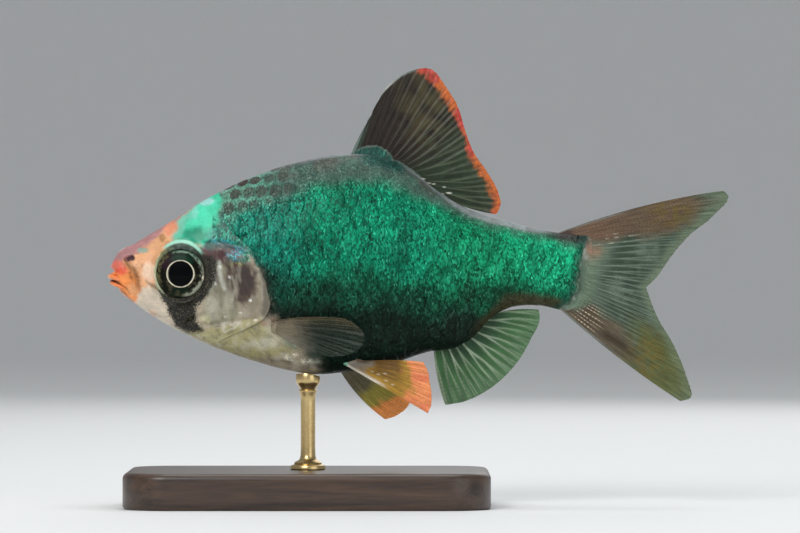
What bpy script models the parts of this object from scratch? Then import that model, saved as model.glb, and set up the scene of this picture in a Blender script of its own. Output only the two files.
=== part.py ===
"""A moss green tiger barb at life size, swimming level on a plain display stand.

The fish faces -X and shows its left flank to -Y. +Z is up, and the stand's base rests on z = 0,
with the origin under the middle of the whole model. Outlines are given in millimetres.
"""

import math

import bmesh
import bpy
import numpy as np

MM = 0.001
GAP = 0.3 * MM  # clearance between pieces that meet

# Side outlines of the body as (x, z), from the snout to the root of the tail fin.
BACK_LINE = [
    (-33.8, 26.4), (-33.3, 27.4), (-31.1, 28.9), (-28.0, 30.8), (-23.4, 33.7), (-18.5, 36.1), (-13.0, 37.9),
    (-8.2, 38.7), (-4.4, 38.5), (-1.0, 37.1), (2.0, 34.8), (5.5, 32.7), (10.0, 31.3), (14.5, 30.2), (18.5, 29.9),
]
BELLY_LINE = [
    (-33.8, 24.9), (-33.2, 24.1), (-30.6, 21.9), (-27.3, 19.8), (-23.4, 17.9), (-18.5, 16.1), (-14.1, 14.9),
    (-10.8, 14.5), (-7.0, 14.9), (-3.1, 15.6), (1.3, 17.0), (4.3, 17.5), (6.3, 18.8), (8.0, 20.7), (9.8, 21.7),
    (12.3, 22.1), (14.3, 21.9), (16.3, 21.3),
]
# Half the body's width against x, seen from above.
HALF_WIDTH = [
    (-33.8, 0.9), (-33.2, 1.5), (-31.2, 2.35), (-28.0, 3.15), (-24.0, 3.9), (-20.0, 4.5), (-15.0, 5.05),
    (-9.5, 5.2), (-3.0, 4.8), (3.0, 3.85), (8.0, 2.95), (13.0, 2.1), (16.0, 1.5), (17.5, 1.05),
]
SNOUT_X, TAIL_ROOT_X = -33.8, 17.4
WIDEST_AT = 0.48  # height of the widest line, as a share of the depth
KEEL = 0.14  # the back is this much sharper than an ellipse, and the belly rounder
LEAN_FROM, LEAN = 6.0, 2.2  # behind this x the sections lean back, up to this much at the tail fin

# Lines that part the head, gill covers, lower jaw and tail stalk, as (x, z).
GILL_LINE = [
    (-21.9, 38.0), (-21.7, 33.7), (-21.1, 31.2), (-20.0, 29.5), (-18.5, 28.4), (-17.5, 26.8), (-16.9, 25.3),
    (-16.4, 23.8), (-16.15, 22.4), (-16.5, 21.2), (-17.5, 20.3), (-19.2, 19.5), (-21.2, 18.6), (-23.2, 17.6),
    (-24.0, 15.0),
]
COVER_LINE = [
    (-20.2, 29.2), (-21.3, 27.4), (-21.7, 25.0), (-21.9, 22.6), (-22.7, 20.9), (-22.2, 20.1), (-20.0, 20.1),
    (-17.8, 20.4), (-16.0, 20.8), (-14.6, 22.2), (-14.9, 24.4), (-15.9, 26.6), (-17.2, 28.4), (-18.7, 29.4),
]
MOUTH_LINE = [
    (-35.5, 25.1), (-33.9, 25.1), (-33.2, 25.0), (-32.6, 24.8), (-31.8, 24.1), (-31.2, 23.4), (-30.6, 22.6),
    (-30.0, 21.0), (-29.8, 19.5),
]
STALK_LINE = [(9.2, 35.0), (8.9, 31.0), (8.4, 26.0), (7.8, 21.0), (7.6, 17.0)]
COVER_DEPTH = 3.1  # distance of a gill cover's flat inner face from the middle plane
COVER_LIFT = 0.35  # how far the gill covers stand proud of the flank behind them

EYE_CENTRE, EYE_RADIUS, EYE_BULGE, EYE_DEPTH = (-26.0, 25.85), 2.7, 0.95, 1.5
EYE_OUT = 3.95  # distance of the cornea's top from the middle plane
EYE_TURN = math.radians(8)  # each eye looks this far forward

LIP_RADIUS = 0.32
UPPER_LIP = [(-32.3, 24.95, 1.5), (-33.05, 25.3, 1.36), (-33.65, 25.42, 0.85), (-33.82, 25.45, 0.0)]
LOWER_LIP = [(-32.2, 24.0, 1.3), (-33.0, 24.35, 1.22), (-33.55, 24.58, 0.75), (-33.72, 24.65, 0.0)]
NOSTRILS = [(-31.5, 27.2, 0.38), (-30.5, 28.0, 0.3)]  # x, z and radius of the two pits on each side

# Fins: the line of ray roots, then the line of ray tips from the leading ray round to the last one.
DORSAL_ROOT = (-7.5, 1.5)  # first and last ray on the back line
DORSAL_TIPS = [
    (-5.2, 42.8), (-3.3, 46.2), (-0.4, 48.0), (1.4, 48.1), (2.9, 46.4), (4.3, 44.2), (5.1, 41.7), (6.1, 39.0),
    (7.6, 36.8), (8.8, 34.6), (9.1, 33.0), (8.6, 32.1),
]
UPPER_ROOT = (-0.02, 0.49)  # first and last ray, as shares of the tail stalk's end from top to bottom
UPPER_TIPS = [(33.6, 34.7), (34.1, 34.2), (32.6, 32.0), (29.8, 29.7), (27.7, 27.2), (26.3, 25.2), (25.1, 24.25)]
LOWER_ROOT = (0.535, 1.03)
LOWER_TIPS = [(25.1, 23.9), (26.3, 20.9), (28.2, 17.6), (29.6, 14.1), (30.0, 11.9), (28.9, 11.5)]
ANAL_ROOT = (1.7, 8.0)  # first and last ray on the belly line
ANAL_TIPS = [(3.0, 11.1), (4.8, 11.4), (7.9, 12.9), (10.6, 15.4), (12.5, 18.5), (13.4, 20.6), (13.3, 21.6)]
PELVIC_LEFT_TIPS = [(1.1, 10.3), (1.5, 11.5), (1.45, 12.7), (1.3, 13.7), (1.1, 14.8), (0.6, 15.9)]
PELVIC_RIGHT_TIPS = [(-3.6, 9.4), (-2.4, 9.8), (-1.3, 10.6), (-0.7, 11.6), (-0.4, 12.8), (-0.5, 14.1)]
PECTORAL_TIPS = [
    (-8.0, 20.7), (-6.7, 20.0), (-5.8, 18.9), (-6.0, 17.8), (-7.2, 16.9), (-9.2, 16.5), (-11.6, 16.9),
]
DORSAL_RAYS, LOBE_RAYS, ANAL_RAYS, PELVIC_RAYS, PECTORAL_RAYS = 12, 10, 8, 8, 10

MEMBRANE = 0.25 * MM  # half the thickness between rays
RAY = 0.42 * MM  # half the thickness over a ray, near its root
RIDGE_FOOT = 0.3  # a ray's ridge reaches this share of the way to the next ray
MARGIN = 0.12 * MM  # half the thickness at the fin's edge
SCALLOP = 0.03  # the membrane ends this share of a ray's length short of the ray tips
FIN_ROWS = 8

BASE_SIZE, BASE_HEIGHT, BASE_CORNER, BASE_CHAMFER = (40.0, 26.0), 4.0, 5.0, 0.7
ROD_X, ROD_RADIUS, COLLAR_RADIUS, COLLAR_HEIGHT, CRADLE_RADIUS = -12.1, 0.8, 1.9, 0.8, 1.3
REACH = 14.0 * MM  # cutting blocks reach this far to each side


def finish(name, colour, roughness, metallic=0.0):
    """A plain Principled material."""
    material = bpy.data.materials.new(name)
    material.use_nodes = True
    shader = material.node_tree.nodes["Principled BSDF"]
    shader.inputs["Base Color"].default_value = (*colour, 1.0)
    shader.inputs["Roughness"].default_value = roughness
    shader.inputs["Metallic"].default_value = metallic
    return material


def spline(knots, values, at):
    """A cubic through the values, where each knot's slope comes from its two neighbours."""
    knots, values, at = np.asarray(knots, float), np.asarray(values, float), np.asarray(at, float)
    slopes = np.gradient(values, knots, axis=0)
    i = np.clip(np.searchsorted(knots, at, side="right") - 1, 0, len(knots) - 2)
    span = knots[i + 1] - knots[i]
    t = (at - knots[i]) / span
    if values.ndim > 1:
        span, t = span[..., None], t[..., None]
    start, end = values[i], values[i + 1]
    return (
        (2 * t**3 - 3 * t**2 + 1) * start
        + (t**3 - 2 * t**2 + t) * span * slopes[i]
        + (3 * t**2 - 2 * t**3) * end
        + (t**3 - t**2) * span * slopes[i + 1]
    )


def height_on(line, x):
    """The height of an outline in metres at x in metres."""
    points = np.array(line) * MM
    return spline(points[:, 0], points[:, 1], x)


def along(line, shares):
    """Points at shares of the length of a smooth curve through the line's points, in metres."""
    points = np.array(line, float) * MM
    chord = np.concatenate([[0], np.cumsum(np.linalg.norm(np.diff(points, axis=0), axis=1))])
    fine = spline(chord, points, np.linspace(0, chord[-1], 400))
    run = np.concatenate([[0], np.cumsum(np.linalg.norm(np.diff(fine, axis=0), axis=1))])
    at = np.asarray(shares) * run[-1]
    return np.stack([np.interp(at, run, fine[:, k]) for k in range(points.shape[1])], axis=1)


def skin(x, angle, lift=0.0):
    """The body's surface. Angle 0 is the back, a quarter turn the left flank and a half turn the belly.

    Each section is an ellipse from belly line to back line, sharpened above and rounded below.
    """
    x, angle = np.broadcast_arrays(np.asarray(x, float), np.asarray(angle, float))
    tail_share = np.clip((x / MM - LEAN_FROM) / (TAIL_ROOT_X - LEAN_FROM), 0, 1)
    lean = LEAN * MM * tail_share**2
    top = height_on(BACK_LINE, x + lean / 2)
    bottom = height_on(BELLY_LINE, x - lean / 2)
    widest = bottom + WIDEST_AT * (top - bottom)
    rise, side = np.cos(angle), np.sin(angle)
    z = widest + np.where(rise > 0, top - widest, widest - bottom) * rise
    half_width = height_on(HALF_WIDTH, x) + lift * np.abs(side) ** 3
    y = -half_width * np.sign(side) * np.abs(side) ** (1 + KEEL * rise)
    lean_here = lean * ((z - bottom) / (top - bottom) - 0.5)
    return np.stack([x + lean_here, y, z], axis=-1)


def outward(x, angle):
    """The surface's unit normal, from small steps along it and round it."""
    step = 1e-5
    along_body = skin(x + step, angle) - skin(x - step, angle)
    round_body = skin(x, angle + 0.01) - skin(x, angle - 0.01)
    normal = np.cross(round_body, along_body)
    return normal / np.linalg.norm(normal)


def new_object(name, points, faces, material=None):
    """An object from points and faces, with its faces turned outwards."""
    mesh = bpy.data.meshes.new(name)
    mesh.from_pydata([tuple(p) for p in points], [], faces)
    if material:
        mesh.materials.append(material)
    shape = bmesh.new()
    shape.from_mesh(mesh)
    bmesh.ops.recalc_face_normals(shape, faces=shape.faces)
    shape.to_mesh(mesh)
    shape.free()
    made = bpy.data.objects.new(name, mesh)
    bpy.context.scene.collection.objects.link(made)
    return made


def loft(name, rings, material=None):
    """A closed skin over rings of equal count, with a middle point closing each end."""
    rows, count = rings.shape[:2]
    points = [*rings.reshape(-1, 3), rings[0].mean(axis=0), rings[-1].mean(axis=0)]
    first, last = rows * count, rows * count + 1
    faces = []
    for j in range(count):
        k = (j + 1) % count
        faces.append((first, k, j))
        faces.append((last, (rows - 1) * count + j, (rows - 1) * count + k))
        for i in range(rows - 1):
            a, b = i * count, (i + 1) * count
            faces.append((a + j, a + k, b + k, b + j))
    return new_object(name, points, faces, material)


def prism(name, outline, near, far):
    """A block whose side view is the outline, reaching from y = near to y = far."""
    count = len(outline)
    points = [(x, y, z) for y in (near, far) for x, z in outline]
    faces = [tuple(range(count)), tuple(range(2 * count - 1, count - 1, -1))]
    faces += [(j, (j + 1) % count, count + (j + 1) % count, count + j) for j in range(count)]
    return new_object(name, points, faces)


def pushed(line, distance):
    """The x-z line moved sideways by a distance, to the left of its direction."""
    run = np.gradient(line, axis=0)
    side = np.stack([-run[:, 1], run[:, 0]], axis=1)
    return line + distance * side / np.linalg.norm(side, axis=1)[:, None]


def ring_of(line, count, inset):
    """A closed x-z outline through the line's points, drawn in by a distance. The line turns clockwise or not."""
    ring = along([*line, line[0]], np.linspace(0, 1, count + 1))[:-1]
    run = np.roll(ring, -1, axis=0) - np.roll(ring, 1, axis=0)
    side = np.stack([-run[:, 1], run[:, 0]], axis=1)
    side /= np.linalg.norm(side, axis=1)[:, None]
    turning = np.sum(ring[:, 0] * np.roll(ring[:, 1], -1) - ring[:, 1] * np.roll(ring[:, 0], -1))
    return ring + np.sign(turning) * inset * side


def carve(piece, tool, operation):
    """Applies one exact Boolean, drops the tool, and keeps the largest closed surface that is left."""
    step = piece.modifiers.new("carve", "BOOLEAN")
    step.solver, step.operation = "EXACT", operation
    if isinstance(tool, bpy.types.Collection):
        step.operand_type, step.collection, tools = "COLLECTION", tool, list(tool.objects)
    else:
        step.object, tools = tool, [tool]
    bpy.context.view_layer.update()
    evaluated = piece.evaluated_get(bpy.context.evaluated_depsgraph_get())
    mesh = bpy.data.meshes.new_from_object(evaluated)
    piece.modifiers.clear()
    piece.data = mesh
    for used in tools:
        bpy.data.objects.remove(used)
    if isinstance(tool, bpy.types.Collection):
        bpy.data.collections.remove(tool)
    keep_largest(piece)
    return piece


def keep_largest(piece):
    """Drops every closed surface of the mesh but the one with most vertices."""
    shape = bmesh.new()
    shape.from_mesh(piece.data)
    left, shells = set(shape.verts), []
    while left:
        edge_of_shell, shell = [left.pop()], set()
        while edge_of_shell:
            vertex = edge_of_shell.pop()
            shell.add(vertex)
            for edge in vertex.link_edges:
                other = edge.other_vert(vertex)
                if other in left:
                    left.discard(other)
                    edge_of_shell.append(other)
        shells.append(shell)
    largest = max(shells, key=len)
    bmesh.ops.delete(shape, geom=[v for v in shape.verts if v not in largest], context="VERTS")
    shape.to_mesh(piece.data)
    shape.free()


def fuse(piece, extras):
    """Joins closed pieces to one piece with a single union."""
    group = bpy.data.collections.new("extras")
    bpy.context.scene.collection.children.link(group)
    for extra in extras:
        bpy.context.scene.collection.objects.unlink(extra)
        group.objects.link(extra)
    return carve(piece, group, "UNION")


def smooth_shade(piece, angle=40):
    """Round faces shade smooth, and only sharp edges show."""
    piece.data.shade_smooth()
    piece.data.set_sharp_from_angle(angle=math.radians(angle))


def body_loft(name, start, end, rows, material, lift_from=None, around=36, bunch=0.0):
    """A closed length of the body from x = start to x = end, in millimetres. Bunch draws rings to its start."""
    t = np.linspace(0, 1, rows)
    x = (start + (end - start) * ((1 - bunch) * t + bunch * t**2)) * MM
    lift = np.zeros_like(x)
    if lift_from is not None:
        share = np.clip((x / MM - lift_from) / 3.0, 0, 1)
        lift = COVER_LIFT * MM * share**2 * (3 - 2 * share)
    angle = np.linspace(0, 2 * math.pi, around, endpoint=False)
    return loft(name, skin(x[:, None], angle[None, :], lift[:, None]), material)


def block_behind(line, distance):
    """Everything behind a parting line that runs from top to bottom, kept off it by a distance."""
    edge = pushed(along(line, np.linspace(0, 1, 28)), distance)
    far_x, high, low = 60 * MM, 60 * MM, 5 * MM
    outline = [(far_x, high), (edge[0, 0], high), *edge, (edge[-1, 0], low), (far_x, low)]
    return prism("behind", outline, -REACH, REACH)


def block_below_mouth(distance):
    """The lower jaw's block, under the mouth line and in front of its rear end."""
    edge = pushed(along(MOUTH_LINE, np.linspace(0, 1, 22)), distance)
    corner = (edge[0, 0], edge[-1, 1])
    return prism("below_mouth", [*edge, corner], -REACH, REACH)


def cover_block(side, inset, depth):
    """The block of one gill cover. Side is -1 for the left one."""
    near, far = sorted((side * depth, side * REACH))
    return prism("cover", ring_of(COVER_LINE, 40, inset), near, far)


def lip(line):
    """A round lip that follows the line from one corner of the mouth to the other."""
    half = np.array([(x, -y, z) for x, z, y in line])
    other = np.array([(x, y, z) for x, z, y in line[-2::-1]])
    path = along(np.vstack([half, other]), np.linspace(0, 1, 15))
    run = np.gradient(path, axis=0)
    run /= np.linalg.norm(run, axis=1)[:, None]
    up = np.array([0.0, 0.0, 1.0])
    across = np.cross(run, up)
    across /= np.linalg.norm(across, axis=1)[:, None]
    over = np.cross(across, run)
    turn = np.linspace(0, 2 * math.pi, 8, endpoint=False)
    ends = np.linspace(-1, 1, len(path))
    radius = LIP_RADIUS * MM * (1 - 0.55 * ends**4)
    circle = np.cos(turn)[None, :, None] * across[:, None] + np.sin(turn)[None, :, None] * over[:, None]
    return loft("lip", path[:, None] + radius[:, None, None] * circle)


def pit(x, z, radius, side):
    """A nostril's round cutter, set on the skin."""
    angle = math.radians(62)
    for _ in range(6):
        height = skin(x * MM, angle)[2]
        angle += (height - z * MM) / (4.5 * MM)
    centre = skin(x * MM, angle) * np.array([1, -side, 1])
    shape = bmesh.new()
    bmesh.ops.create_icosphere(shape, subdivisions=2, radius=radius * MM)
    points = [np.array(v.co) + centre for v in shape.verts]
    faces = [tuple(v.index for v in f.verts) for f in shape.faces]
    shape.free()
    return new_object("pit", points, faces)


def eye(name, side, material, swell=0.0):
    """A lens-shaped eyeball turned about its own axis: a domed front and a rounder back. Swell is in metres."""
    dome = [
        (EYE_RADIUS * math.sin(a), EYE_BULGE * math.cos(a)) for a in np.linspace(0.12, math.pi / 2, 6)
    ]
    back = [
        (EYE_RADIUS * math.cos(a) ** 0.8, -EYE_DEPTH * math.sin(a)) for a in np.linspace(0.25, 1.35, 5)
    ]
    profile = np.array(dome + back) * MM
    swelling = np.array([
        (radius, height) / np.hypot(radius, height) for radius, height in profile / np.array([1.0, 0.6])
    ])
    profile = profile + swell * swelling
    turn = np.linspace(0, 2 * math.pi, 24, endpoint=False)
    axis = np.array([-math.sin(EYE_TURN), side * math.cos(EYE_TURN), 0.0])
    ahead = np.array([-math.cos(EYE_TURN), -side * math.sin(EYE_TURN), 0.0])
    up = np.array([0.0, 0.0, 1.0])
    centre = np.array([EYE_CENTRE[0], side * (EYE_OUT - EYE_BULGE), EYE_CENTRE[1]]) * MM
    spoke = np.cos(turn)[:, None] * ahead + np.sin(turn)[:, None] * up
    rings = centre + profile[:, 0, None, None] * spoke + profile[:, 1, None, None] * axis
    return loft(name, rings, material)


def ray_columns(rays):
    """Shares across a fin where its columns lie: a crest for each ray, with a foot on either side."""
    step = 1 / (rays - 1)
    offsets = np.array([-RIDGE_FOOT, 0.0, RIDGE_FOOT]) * step
    return (np.arange(rays)[:, None] * step + offsets).ravel()[1:-1]


def fin(name, root, tips, material, root_half, bow, rows=FIN_ROWS):
    """A closed fin blade: every ray runs from the root line to the tip line, and stands up as a ridge.

    Root and tips are points in space, one for each of ray_columns. Each ray bows sideways by a share
    of its length, which goes from bow[0] at the first ray to bow[1] at the last.
    """
    columns = len(root)
    u = np.linspace(0, 1, columns)[:, None, None]
    is_ray = (np.arange(columns) % 3 == 0)[:, None]
    v = np.linspace(0, 1, rows)[None, :]
    reach = v * np.where(is_ray, 1.0, 1.0 - SCALLOP)
    start, end = root[:, None], tips[:, None]
    ray = end - start
    sideways = np.stack([-ray[..., 2], np.zeros_like(ray[..., 0]), ray[..., 0]], axis=-1)
    bend = (bow[0] + (bow[1] - bow[0]) * u) * 4 * (reach * (1 - reach))[..., None]
    middle = start + reach[..., None] * ray + bend * sideways
    normal = np.cross(np.gradient(middle, axis=0), np.gradient(middle, axis=1))
    normal /= np.linalg.norm(normal, axis=-1)[..., None]
    near_root = np.clip(1 - v / 0.22, 0, 1) ** 2
    near_edge = np.clip((v - 0.6) / 0.4, 0, 1)
    ridge = np.where(is_ray, RAY * (1 - 0.25 * v), MEMBRANE)
    half = ridge + (root_half - ridge) * near_root
    half = half + (MARGIN - half) * near_edge
    half = half[..., None] * normal
    points = np.concatenate([(middle - half).reshape(-1, 3), (middle + half).reshape(-1, 3)])
    other = columns * rows
    faces = []
    for i in range(columns - 1):
        for j in range(rows - 1):
            a, b, c, d = i * rows + j, (i + 1) * rows + j, (i + 1) * rows + j + 1, i * rows + j + 1
            cells = [(a, b, c), (a, c, d)] if i % 2 else [(a, b, d), (b, c, d)]
            faces += cells
            faces += [tuple(other + k for k in reversed(cell)) for cell in cells]
    rim = [i * rows for i in range(columns)] + [(columns - 1) * rows + j for j in range(1, rows)]
    rim += [i * rows + rows - 1 for i in range(columns - 2, -1, -1)] + list(range(rows - 2, 0, -1))
    for a, b in zip(rim, rim[1:] + rim[:1]):
        faces += [(b, a, other + a), (b, other + a, other + b)]
    made = new_object(name, points, faces, material)
    smooth_shade(made, 60)
    return made


def in_space(line, shares, y=0.0):
    """Points at shares of an x-z line, all at one y or at a y for each."""
    flat = along(line, shares)
    return np.stack([flat[:, 0], np.broadcast_to(y, len(flat)), flat[:, 1]], axis=1)


def ridge_root(span, line, side, rays):
    """Roots at a gap off the back line (side 1) or the belly line (side -1), between two places along it."""
    x = (span[0] + (span[1] - span[0]) * ray_columns(rays)) * MM
    edge = np.stack([x, height_on(line, x)], axis=1)
    edge = pushed(edge, side * GAP)
    return np.insert(edge, 1, 0.0, axis=1)


def stalk_root(span, rays):
    """Roots at a gap behind the tail stalk's end, between two shares of its height."""
    top, bottom = skin(TAIL_ROOT_X * MM, 0.0), skin(TAIL_ROOT_X * MM, math.pi)
    down = bottom - top
    back = np.array([-down[2], 0.0, down[0]]) / np.linalg.norm(down)
    shares = span[0] + (span[1] - span[0]) * ray_columns(rays)
    return top + shares[:, None] * down + GAP * back


def median_fin(name, root, tip_line, rays, material, root_half, bow, sway):
    """A fin in the middle plane, whose outer edge sways a little to one side."""
    shares = ray_columns(rays)
    tips = in_space(tip_line, shares, sway * MM * np.sin(0.3 + 2.5 * shares))
    return fin(name, root, tips, material, root_half * MM, bow)


def paired_fin(name, side, root_ends, tip_line, rays, material, root_half, bow, spread):
    """A fin rooted on the skin, whose blade stands away from the body by spread for each unit of reach.

    Root_ends holds (x, angle round the body) of the first and last ray.
    """
    shares = ray_columns(rays)
    first, last = (
        skin(x * MM, angle) + outward(x * MM, angle) * (GAP + root_half * MM) for x, angle in root_ends
    )
    root = first + (last - first) * shares[:, None]
    tips = in_space(tip_line, shares)
    reach = np.linalg.norm((tips - root)[:, [0, 2]], axis=1)
    tips[:, 1] = root[:, 1] - spread * reach
    mirror = np.array([1, -side, 1])
    return fin(name, root * mirror, tips * mirror, material, root_half * MM, bow)


def rounded_outline(half_x, half_y, corner, steps=7):
    """Points round a rectangle with round corners, centred on the origin."""
    points = []
    for quarter in range(4):
        start = quarter * math.pi / 2
        centre_x = (half_x - corner) * (1 if quarter in (0, 3) else -1)
        centre_y = (half_y - corner) * (1 if quarter in (0, 1) else -1)
        for turn in np.linspace(start, start + math.pi / 2, steps):
            points.append((centre_x + corner * math.cos(turn), centre_y + corner * math.sin(turn)))
    return np.array(points)


def stand_base(material):
    """A flat plinth with round corners and a chamfered top edge."""
    half_x, half_y = BASE_SIZE[0] / 2, BASE_SIZE[1] / 2
    rings = []
    for height, inset in ((0, 0.0), (BASE_HEIGHT - BASE_CHAMFER, 0.0), (BASE_HEIGHT, BASE_CHAMFER)):
        flat = rounded_outline(half_x - inset, half_y - inset, BASE_CORNER - inset)
        rings.append([(x + ROD_X, y, height) for x, y in flat])
    return loft("stand_base", np.array(rings) * MM, material)


def belly_under(x, y):
    """The height of the belly's surface over a point near its middle line."""
    top, bottom = height_on(BACK_LINE, x), height_on(BELLY_LINE, x)
    widest = bottom + WIDEST_AT * (top - bottom)
    side = (np.abs(y) / height_on(HALF_WIDTH, x)) ** (1 / (1 - KEEL))
    return widest - (widest - bottom) * np.sqrt(1 - side**2)


def stand_rod(material):
    """A turned rod: a collar on the base, a slim shank, and a small cradle that follows the belly."""
    turn = np.linspace(0, 2 * math.pi, 20, endpoint=False)
    x, y = np.cos(turn), np.sin(turn)
    foot = BASE_HEIGHT * MM + GAP
    neck = belly_under(ROD_X * MM, 0.0) - GAP - 1.6 * MM
    rings = []
    for radius, height in (
        (COLLAR_RADIUS, foot), (COLLAR_RADIUS, foot + 0.7 * COLLAR_HEIGHT * MM),
        (0.8 * COLLAR_RADIUS, foot + COLLAR_HEIGHT * MM), (ROD_RADIUS, foot + 1.1 * COLLAR_HEIGHT * MM),
        (ROD_RADIUS, neck), (0.8 * CRADLE_RADIUS, neck + 0.6 * MM), (CRADLE_RADIUS, neck + 1.0 * MM),
    ):
        rings.append(np.stack([radius * x * MM + ROD_X * MM, radius * y * MM, np.full(20, height)], axis=1))
    for radius in (CRADLE_RADIUS, 0.55 * CRADLE_RADIUS):
        top_x, top_y = radius * x * MM + ROD_X * MM, radius * y * MM
        rings.append(np.stack([top_x, top_y, belly_under(top_x, top_y) - GAP], axis=1))
    return loft("stand_rod", np.array(rings), material)


def build_body(flesh, gill, green):
    """Head, lower jaw, gill covers, trunk and tail stalk, parted from lofts of one body by thin cuts."""
    half_gap = GAP / 2
    head_span = dict(start=SNOUT_X, end=-14.0, rows=30, bunch=0.55, lift_from=-22.5)
    head = fuse(body_loft("head", material=flesh, **head_span), [lip(UPPER_LIP), lip(LOWER_LIP)])
    carve(head, block_behind(GILL_LINE, -half_gap), "DIFFERENCE")

    jaw = new_copy(head, "lower_jaw")
    carve(jaw, block_below_mouth(-half_gap), "INTERSECT")
    carve(head, block_below_mouth(half_gap), "DIFFERENCE")

    pieces = [head, jaw]
    for side, word in ((-1, "left"), (1, "right")):
        cover = new_copy(head, f"gill_cover_{word}", gill)
        carve(cover, cover_block(side, GAP, COVER_DEPTH * MM), "INTERSECT")
        pieces.append(cover)
    for side in (-1, 1):
        carve(head, cover_block(side, 0.0, COVER_DEPTH * MM - GAP), "DIFFERENCE")
        carve(head, eye("socket", side, None, swell=GAP), "DIFFERENCE")
        for x, z, radius in NOSTRILS:
            carve(head, pit(x, z, radius, side), "DIFFERENCE")

    trunk = body_loft("trunk", -25.0, 11.0, 36, green)
    carve(trunk, block_behind(GILL_LINE, half_gap), "INTERSECT")
    carve(trunk, block_behind(STALK_LINE, -half_gap), "DIFFERENCE")
    stalk = body_loft("tail_stalk", 5.0, TAIL_ROOT_X, 16, green)
    carve(stalk, block_behind(STALK_LINE, half_gap), "INTERSECT")
    for piece in (*pieces, trunk, stalk):
        smooth_shade(piece)


def new_copy(piece, name, material=None):
    """A copy of a piece under a new name, with its own mesh."""
    made = piece.copy()
    made.data = piece.data.copy()
    made.name = name
    if material:
        made.data.materials.clear()
        made.data.materials.append(material)
    bpy.context.scene.collection.objects.link(made)
    return made


def build_fins(smoky, clear, orange):
    """The median fins in the middle plane, and the pectoral and pelvic fins on the skin."""
    back = ridge_root(DORSAL_ROOT, BACK_LINE, 1, DORSAL_RAYS)
    median_fin("dorsal_fin", back, DORSAL_TIPS, DORSAL_RAYS, smoky, 0.45, (0.03, 0.0), 0.35)
    vent = ridge_root(ANAL_ROOT, BELLY_LINE, -1, ANAL_RAYS)
    median_fin("anal_fin", vent, ANAL_TIPS, ANAL_RAYS, clear, 0.45, (-0.04, 0.05), -0.3)
    upper, lower = (stalk_root(span, LOBE_RAYS) for span in (UPPER_ROOT, LOWER_ROOT))
    median_fin("caudal_fin_upper", upper, UPPER_TIPS, LOBE_RAYS, clear, 0.8, (0.04, 0.0), 0.3)
    median_fin("caudal_fin_lower", lower, LOWER_TIPS, LOBE_RAYS, clear, 0.8, (0.0, -0.03), 0.3)
    belly, chest = math.pi - 0.42, math.radians(121)
    for side, word, tips, bow in (
        (-1, "left", PELVIC_LEFT_TIPS, (0.0, 0.03)), (1, "right", PELVIC_RIGHT_TIPS, (-0.06, 0.02)),
    ):
        first = -8.2 if side < 0 else -9.0
        ends = ((first, belly), (first + 1.8, belly))
        paired_fin(f"pelvic_fin_{word}", side, ends, tips, PELVIC_RAYS, orange, 0.4, bow, 0.22)
        ends = ((-16.0, chest), (-15.9, chest + 0.13))
        paired_fin(
            f"pectoral_fin_{word}", side, ends, PECTORAL_TIPS, PECTORAL_RAYS, smoky, 0.4, (0.04, -0.02), 0.3
        )


def main():
    for old in list(bpy.data.objects):
        bpy.data.objects.remove(old)
    flesh = finish("head_flesh", (0.62, 0.45, 0.36), 0.35)
    gill = finish("gill_plate", (0.46, 0.40, 0.38), 0.3)
    green = finish("green_scales", (0.02, 0.26, 0.19), 0.3, 0.4)
    smoky = finish("smoky_fin", (0.16, 0.13, 0.11), 0.4)
    clear = finish("clear_fin", (0.36, 0.38, 0.33), 0.35)
    orange = finish("orange_fin", (0.72, 0.30, 0.12), 0.4)
    eye_black = finish("eye_black", (0.02, 0.02, 0.02), 0.05)
    build_body(flesh, gill, green)
    build_fins(smoky, clear, orange)
    for side, word in ((-1, "left"), (1, "right")):
        smooth_shade(eye(f"eye_{word}", side, eye_black))
    stand_base(finish("stand_wood", (0.08, 0.05, 0.035), 0.4))
    smooth_shade(stand_rod(finish("stand_metal", (0.72, 0.58, 0.32), 0.25, 1.0)))


main()
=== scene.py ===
"""A moss green tiger barb as a life-size museum model, swimming level on a plain display stand.

The fish faces -X and shows its left flank to -Y, and +Z is up. Shapes are worked out in millimetres,
and become metres when a mesh is made.
"""

import math

import bpy
import numpy as np
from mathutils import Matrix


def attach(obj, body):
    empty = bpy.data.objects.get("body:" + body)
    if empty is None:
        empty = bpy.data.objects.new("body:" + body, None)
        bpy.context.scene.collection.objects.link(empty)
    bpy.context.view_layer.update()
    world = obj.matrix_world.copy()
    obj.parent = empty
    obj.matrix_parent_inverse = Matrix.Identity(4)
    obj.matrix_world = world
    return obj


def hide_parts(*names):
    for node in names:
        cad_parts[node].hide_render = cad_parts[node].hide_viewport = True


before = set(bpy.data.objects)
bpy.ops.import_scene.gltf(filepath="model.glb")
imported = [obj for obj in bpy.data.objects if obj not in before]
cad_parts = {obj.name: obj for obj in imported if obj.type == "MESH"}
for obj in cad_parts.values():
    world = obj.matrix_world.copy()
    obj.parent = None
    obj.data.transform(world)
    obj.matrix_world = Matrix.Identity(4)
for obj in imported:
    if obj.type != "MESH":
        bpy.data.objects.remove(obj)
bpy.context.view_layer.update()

# The studio: a pale paper sweep that lies flat under the stand and rises far behind it on every side,
# soft lamps above and beside the fish, and a level camera that looks square at its left flank.
MM = 0.001
view_distance, view_height, view_x = 611.1, 26.345, -1.98
camera = bpy.data.objects.new("flank_camera", bpy.data.cameras.new("flank_camera"))
camera.data.lens, camera.data.sensor_width = 250.0, 36.0
camera.data.clip_start, camera.data.clip_end = 0.01, 20.0
camera.location = (view_x * MM, -view_distance * MM, view_height * MM)
camera.rotation_euler = (math.pi / 2, 0.0, 0.0)
bpy.context.scene.collection.objects.link(camera)
bpy.context.scene.camera = camera
bpy.context.scene.view_settings.view_transform = "Standard"

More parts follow.
